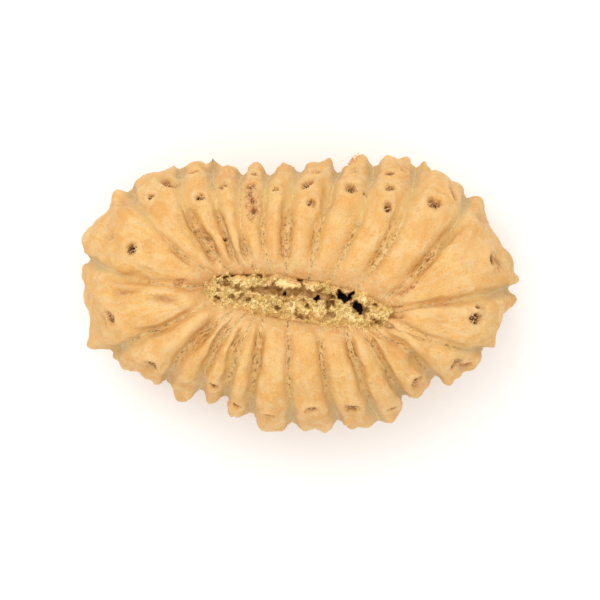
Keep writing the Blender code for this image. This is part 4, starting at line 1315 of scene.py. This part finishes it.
# walls of cracks and gaps turn brown with depth, partly their colour and partly painted shade; the deepest parts are
# painted black as shade
WALL_COLOUR_AND_SHADE_FADE = ("sunk", 0.1, 0.35)
GAP_SHADE_FADE = ("sunk", 0.55, 0.9)


def pulp_skin():
    material, bench, place = new_skin("dried_pulp_skin")
    of = {name: bench.noise(place, *sizes) for name, sizes in PULP_NOISES.items()}
    of.update({name: bench.read(name) for name in PULP_ATTRIBUTES})
    colour = bench.coats(OLIVE, of, PULP_COATS)
    walls = bench.coats(PULP_BROWN_AND_SHADE, of, WALL_COATS)
    colour = bench.coats(colour, of, ((walls, 0.85, WALL_COLOUR_AND_SHADE_FADE), (GAP_SHADE_BLACK, 1.0, GAP_SHADE_FADE)))
    bumps = ((of["grain"], 0.06, 0.7), (of["patches"], 0.1, 0.4))
    bench.finish(colour, PULP_ROUGHNESS + of["grain"] * GRAIN_ROUGHNESS, bumps, PULP_SPECULAR)
    return material


PULP_SKIN = pulp_skin()
print("made", PULP_SKIN.name)


# %% Lumps and torn edge of the cake
def cake_lumps(x, y, draw):
    lump = np.zeros(x.shape)
    for _ in range(PULP_LUMPS):
        u = draw.uniform(x[0, 0], x[-1, 0])
        v = draw.uniform(y[0, 0], y[0, -1])
        reach = draw.uniform(*PULP_LUMP_REACH)
        away = ((x - u) ** 2 + (y - v) ** 2) / reach**2
        full = SMALL_LUMP_SHARE + (1 - SMALL_LUMP_SHARE) * reach / PULP_LUMP_REACH[1]
        lump = np.maximum(lump, np.sqrt(np.clip(1 - away, 0.0, 1.0)) * full)
    return lump


def cake_cover(x, y, lump, draw):
    edges = np.array(CAKE_EDGE)
    above, below = (np.interp(x, edges[:, 0], edges[:, side]) for side in (1, 2))
    knots = np.linspace(x[0, 0], x[-1, 0], CAKE_RAGS)
    torn_above, torn_below = (
        np.interp(x, knots, [draw.uniform(-CAKE_RAG, CAKE_RAG) for _ in knots]) for _ in range(2)
    )
    inward = np.minimum(above - y, y + below) + (lump - 0.5) * CAKE_EDGE_LUMPS
    inward += np.where(y > (above - below) / 2, torn_above, torn_below)
    return np.clip(inward / CAKE_EDGE_WIDTH, CAKE_OUTSIDE, 1.0)


def heights_below(stone, x, y):
    surface = surface_of(stone)
    heights = np.zeros(x.shape)
    for index in np.ndindex(x.shape):
        heights[index] = seen_below(surface, x[index], y[index])[0].z / MM - SHIFT[2]
    return heights


# %% [markdown]
# ## The cake as a closed shell
# The cake has a top and an underside on the same grid, joined round the rim, so it is a closed shell and its
# edge has a real thickness. Where the cover runs out, the top dips under the stone's skin, and the torn edge
# of the crust is the line where the two meet.

# %% The cake's mesh
def shell_mesh(name, x, y, top, under):
    rows, columns = x.shape
    count = rows * columns
    layers = [np.stack([x, y, height], axis=-1) for height in (top, under)]
    points = (np.array(layers).reshape(-1, 3) + SHIFT) * MM
    index = np.arange(count).reshape(rows, columns)
    quads = np.stack([index[:-1, :-1], index[1:, :-1], index[1:, 1:], index[:-1, 1:]], axis=-1).reshape(-1, 4)
    rim = np.concatenate([index[:, 0], index[-1, 1:], index[-2::-1, -1], index[0, -2:0:-1]])
    after = np.roll(rim, -1)
    walls = np.stack([rim, rim + count, after + count, after], axis=-1)
    mesh = bpy.data.meshes.new(name)
    mesh.from_pydata(points, [], quads.tolist() + (quads[:, ::-1] + count).tolist() + walls.tolist())
    return mesh


def face_outwards(mesh):
    shape = bmesh.new()
    shape.from_mesh(mesh)
    bmesh.ops.recalc_face_normals(shape, faces=shape.faces[:])
    shape.to_mesh(mesh)
    shape.free()


def pulp_cake(stone):
    slit, edges = UPPER_SLIT, np.array(CAKE_EDGE)
    x_line = np.arange(edges[0, 0], edges[-1, 0], PULP_PITCH)
    y_line = np.arange(-edges[:, 2].max() - CAKE_MARGIN, edges[:, 1].max() + CAKE_MARGIN, PULP_PITCH)
    x, y = np.meshgrid(x_line, y_line, indexing="ij")
    draw = random.Random(PULP_SEED)
    lump = cake_lumps(x, y, draw)
    cover = cake_cover(x, y, lump, draw)
    waves = [np.sin(lengthways * x + crossways * y) for lengthways, crossways in GAP_WAVES]
    plan = np.stack([x, y], axis=-1) + GAP_WOBBLE * np.stack(waves, axis=-1)
    pale = in_ovals(plan, PALE_LUMPS)
    sunk = np.maximum(along_paths(plan, CRACK), in_ovals(plan, BLACK_GAPS))

    turn = math.radians(slit["turn"])
    world_x = slit["x"] + x * math.cos(turn) - y * math.sin(turn)
    world_y = slit["y"] + x * math.sin(turn) + y * math.cos(turn)
    lip = heights_below(stone, world_x, world_y)
    in_slit = (x / slit["half_length"]) ** 2 + (y / slit["half_width"]) ** 2 < 1.0
    lip = np.where(in_slit, np.maximum(lip, edge_height), lip)
    raised = CAKE_THICKNESS + (lump - LUMP_MIDDLE) * PULP_LUMP_HEIGHT
    top = lip + np.where(cover > 0, cover * raised, cover * CAKE_TUCK) + (pale - sunk)
    under = np.where(in_slit, edge_height - PULP_THICKNESS, lip - 2 * CAKE_TUCK)
    under = np.minimum(under, top - CAKE_LEAST)

    mesh = shell_mesh("pulp_cake", world_x, world_y, top, under)
    for name, values in (("sunk", sunk), ("pale", pale), ("clod", lump)):
        named(mesh, name, "FLOAT", np.tile(values.ravel(), 2))
    named(mesh, "cover", "FLOAT", np.concatenate([cover.ravel(), np.full(x.size, -1.0)]))
    face_outwards(mesh)
    return mesh


pulp = object_of("pulp_cake", pulp_cake(final_mesh))
print("cake has", len(pulp.data.polygons), "faces")

# %% [markdown]
# ## Grains of the cake
# Up close the pulp is grainy. Two sizes of round cells raise it, bent by a noise so that no row of cells shows. The
# same cells say where the crevices between the grains are, and the material paints shade there.

# %% The tree that raises the grains
GRAIN_SIZES = {"Grain Size": 0.3, "Grain Height": 0.2, "Material": PULP_SKIN}
GRAIN_BEND_LENGTH = 1 / 2.2
GRAIN_BEND = 0.35
SMALL_GRAINS = 2.2
LARGE_GRAIN_LEVEL = 0.45
SMALL_GRAIN_LEVEL = 0.4
SMALL_GRAIN_SHARE = 0.6
CREVICE_SHADE_SHARE = 0.7
CLOD_CALM = 0.7


def raise_grains(bench, given):
    place = bench.place_in_mm()
    warp = bench.noise(place, GRAIN_BEND_LENGTH, output="Color")
    bent = bench.vector("ADD", place, bench.scaled(warp, GRAIN_BEND))
    scale = 1 / given["Grain Size"]
    large = bench.cells(bent, scale)
    small = bench.cells(bent, scale * SMALL_GRAINS)
    calm = 1 - bench.named("pale").fades(0.05, 0.3) * CLOD_CALM
    covered = bench.named("cover").fades(0.0, 0.5)
    grains = (LARGE_GRAIN_LEVEL - large) + (SMALL_GRAIN_LEVEL - small) * SMALL_GRAIN_SHARE
    height = grains * given["Grain Height"] * calm * covered
    raised = bench.moved(given["Geometry"], bench.scaled(bench.node("GeometryNodeInputNormal"), height * MM))
    # the crevices between the grains are stored for painted shade in the material
    return bench.stored(raised, "crevice", (large * CREVICE_SHADE_SHARE + small * CREVICE_SHADE_SHARE) * calm)


pulp.data = run_tree(geometry_tree("raise_grains", GRAIN_SIZES, raise_grains), pulp, GRAIN_SIZES)
pulp.data.shade_smooth()
print("pulp has", len(pulp.data.polygons), "faces")

# %% [markdown]
# ## Crumbs
# Loose crumbs sit on the cake and at its torn edge. Points are scattered over its upper faces and a small
# rough grain is set on each, turned, squashed and sized by chance with a fixed seed. Instances of one grain
# keep the tree quick, and a grain of 20 faces keeps the piece small.

# %% Scattering the crumbs
CRUMB_SIZES = {
    "Crumbs Per Square Metre": 13e6,
    "Least Size": 0.03,
    "Greatest Size": 0.11,
    "Material": PULP_SKIN,
}
CRUMB_SQUASH = ((0.6, 0.6, 0.5), (1.3, 1.1, 1.0))
ANY_TURN = ((0.0, 0.0, 0.0), (6.3, 6.3, 6.3))
CRUMB_SEEDS = {"place": 5, "size": 6, "turn": 7, "squash": 8}
OVER_GAPS = (0.3, 0.6)
FACING_UP = (0.2, 0.6)
NEAR_CAKE = (-1.5, 0.5)
CRUMB_RAG_LENGTH = 0.14
CRUMB_RAG = 0.2


def scatter_crumbs(bench, given):
    cover = bench.named("cover")
    up = bench.axis(bench.node("GeometryNodeInputNormal"), "Z")
    off_gaps = 1 - bench.named("sunk").fades(*OVER_GAPS)
    density = given["Crumbs Per Square Metre"] * off_gaps * up.fades(*FACING_UP) * cover.fades(*NEAR_CAKE)
    points = bench.scattered(given["Geometry"], density, CRUMB_SEEDS["place"], "Points")
    lift = bench.node("ShaderNodeCombineXYZ", {}, {"Z": (cover * -1).most(0.0) * CAKE_TUCK * MM})
    size = bench.chance("FLOAT", given["Least Size"] * MM, given["Greatest Size"] * MM, CRUMB_SEEDS["size"])
    crumbs = bench.node("GeometryNodeInstanceOnPoints", {}, {
        "Points": bench.moved(points, lift),
        "Instance": bench.node("GeometryNodeMeshIcoSphere", {}, {"Radius": 1.0, "Subdivisions": 1}),
        "Rotation": bench.chance("FLOAT_VECTOR", *ANY_TURN, CRUMB_SEEDS["turn"]),
        "Scale": bench.scaled(bench.chance("FLOAT_VECTOR", *CRUMB_SQUASH, CRUMB_SEEDS["squash"]), size),
    })
    real = bench.node("GeometryNodeRealizeInstances", {}, {0: crumbs})
    rough = (bench.noise(bench.place_in_mm(), CRUMB_RAG_LENGTH) - 0.5) * CRUMB_RAG
    return bench.moved(real, bench.scaled(bench.node("GeometryNodeInputNormal"), rough * MM))


crumb_mesh = run_tree(geometry_tree("scatter_crumbs", CRUMB_SIZES, scatter_crumbs), pulp, CRUMB_SIZES)
crumbs = object_of("pulp_crumbs", crumb_mesh)
crumb_mesh.shade_smooth()
print("crumbs have", len(crumb_mesh.polygons), "faces")

# %% [markdown]
# ## Fibres in the pits
# Broken fibres of the fruit still stand in the pits, as a ragged reddish fringe. Points are scattered only
# where the pit attribute says wall, or where the edge is frayed, and a thin tapered bristle with four sides
# is set on each, leaning by chance.

# %% The fibres' material and tree
FIBRE_LIGHT = (0.95, 0.66, 0.33, 1.0)
FIBRE_DARK = (0.40, 0.17, 0.06, 1.0)
TONE_SIZE = 0.25
TONE_FADE = (0.4, 0.5)
FIBRE_ROUGHNESS = 0.7
TONE_ROUGHNESS = 0.1
FIBRE_SPECULAR = 0.25


def fibre_skin():
    material, bench, place = new_skin("dry_fibre")
    tone = bench.noise(place, TONE_SIZE)
    colour = bench.mix(tone.fades(*TONE_FADE), FIBRE_DARK, FIBRE_LIGHT)
    bench.finish(colour, FIBRE_ROUGHNESS + tone * TONE_ROUGHNESS, ((tone, 0.02, 0.3),), FIBRE_SPECULAR)
    return material


FIBRE_SIZES = {
    "Fibres Per Square Metre": 13e6,
    "Least Length": 0.22,
    "Greatest Length": 0.5,
    "Thickness": 0.034,
    "Material": fibre_skin(),
}
FIBRE_LEAN = ((-0.9, -0.9, 0.0), (0.9, 0.9, 6.3))
FIBRE_SEEDS = {"place": 11, "length": 12, "lean": 13}
WALL_FOOT = (0.5, 0.7)
WALL_TOP = (0.9, 1.15)
FRAYED = (0.3, 0.8)
FRAY_DENSITY = 4
BRISTLE = {"Vertices": 4, "Side Segments": 2, "Radius Top": 0.15, "Radius Bottom": 1.0, "Depth": 1.0}


def grow_fibres(bench, given):
    pit = bench.named("pit")
    frayed = bench.named("fray").fades(*FRAYED) * FRAY_DENSITY
    density = given["Fibres Per Square Metre"] * (pit.fades(*WALL_FOOT) * (1 - pit.fades(*WALL_TOP)) + frayed)
    points = bench.scattered(given["Geometry"], density, FIBRE_SEEDS["place"], None)
    length = bench.chance("FLOAT", given["Least Length"] * MM, given["Greatest Length"] * MM, FIBRE_SEEDS["length"])
    thick = given["Thickness"] * MM
    fibres = bench.node("GeometryNodeInstanceOnPoints", {}, {
        "Points": Value(bench, points.outputs["Points"]),
        "Instance": bench.node("GeometryNodeMeshCone", {"fill_type": "NGON"}, BRISTLE, "Mesh"),
        "Scale": bench.node("ShaderNodeCombineXYZ", {}, {"X": thick, "Y": thick, "Z": length}),
        "Rotation": Value(bench, points.outputs["Rotation"]),
    })
    lean = bench.chance("FLOAT_VECTOR", *FIBRE_LEAN, FIBRE_SEEDS["lean"])
    return bench.node("GeometryNodeRotateInstances", {}, {0: fibres, "Rotation": lean})


fibre_mesh = run_tree(geometry_tree("grow_fibres", FIBRE_SIZES, grow_fibres), body, FIBRE_SIZES)
fibres = object_of("pit_fibres", fibre_mesh)
print("fibres have", len(fibre_mesh.polygons), "faces")

# %% [markdown]
# ## Joining the frame
# Each piece moves with the root body, and the frame's plain solids of the stone and the pulp are hidden.

# %% Pieces join the frame
bpy.data.objects.remove(PIT_PLACES, do_unlink=True)
for piece, slot in ((body, "stone"), (fibres, "stone"), (pulp, "dried_pulp"), (crumbs, "dried_pulp")):
    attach(piece, "root")
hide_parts("stone")
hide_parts("dried_pulp")

# %% [markdown]
# ## Floor, light and camera
# The seed lies on a plain pale floor under a broad soft light, as small things are photographed. The
# camera looks straight down from far off through a long lens, so near and far parts keep one scale.

# %% Floor and light
FLOOR_SIZE = 3.0
FLOOR_COLOUR = (0.95, 0.95, 0.95, 1.0)
FLOOR_ROUGHNESS = 0.9
SKY_COLOUR = (1.0, 1.0, 1.0, 1.0)
SKY_STRENGTH = 0.93
LAMPS = {"key": ((-0.07, 0.13, 0.32), 0.24, 0.42), "overhead": ((0.03, -0.1, 0.42), 0.36, 0.4)}


def plain_floor():
    mesh = bpy.data.meshes.new("floor")
    half = FLOOR_SIZE / 2
    corners = [(-half, -half, 0), (half, -half, 0), (half, half, 0), (-half, half, 0)]
    mesh.from_pydata(corners, [], [(0, 1, 2, 3)])
    material = bpy.data.materials.new("pale_floor")
    material.use_nodes = True
    shader = material.node_tree.nodes["Principled BSDF"]
    shader.inputs["Base Color"].default_value = FLOOR_COLOUR
    shader.inputs["Roughness"].default_value = FLOOR_ROUGHNESS
    mesh.materials.append(material)
    return object_of("floor", mesh)


def soft_light(name, place, size, power):
    lamp = bpy.data.lights.new(name, "AREA")
    lamp.size = size
    lamp.energy = power
    obj = object_of(name, lamp)
    obj.location = place
    obj.rotation_euler = (-Vector(place)).to_track_quat("-Z", "Y").to_euler()


plain_floor()
for name, (place, size, power) in LAMPS.items():
    soft_light(name, place, size, power)
world = bpy.data.worlds.new("studio")
bpy.context.scene.world = world
world.use_nodes = True
sky = world.node_tree.nodes["Background"]
sky.inputs["Color"].default_value = SKY_COLOUR
sky.inputs["Strength"].default_value = SKY_STRENGTH
bpy.context.scene.view_settings.view_transform = "Standard"
bpy.context.scene.view_settings.look = "None"
print("lamps", sorted(LAMPS), "and a plain white sky")

# %% Camera
PIXELS_PER_MM = 12.0
IMAGE_SIDE = 600
SEED_CENTRE_X = 299
SEED_CENTRE_Y = 294
LENS = 400.0
SENSOR = 36.0


def camera_from_above():
    data = bpy.data.cameras.new("camera")
    data.lens = LENS
    data.sensor_width = SENSOR
    view_width = IMAGE_SIDE / PIXELS_PER_MM * MM
    distance = view_width * LENS / SENSOR
    obj = object_of("camera", data)
    middle = IMAGE_SIDE / 2
    obj.location = (
        (middle - SEED_CENTRE_X) / PIXELS_PER_MM * MM,
        (SEED_CENTRE_Y - middle) / PIXELS_PER_MM * MM,
        UPPER_HEIGHT * MM + distance,
    )
    bpy.context.scene.camera = obj
    return distance


print("camera distance", round(camera_from_above(), 3), "m")
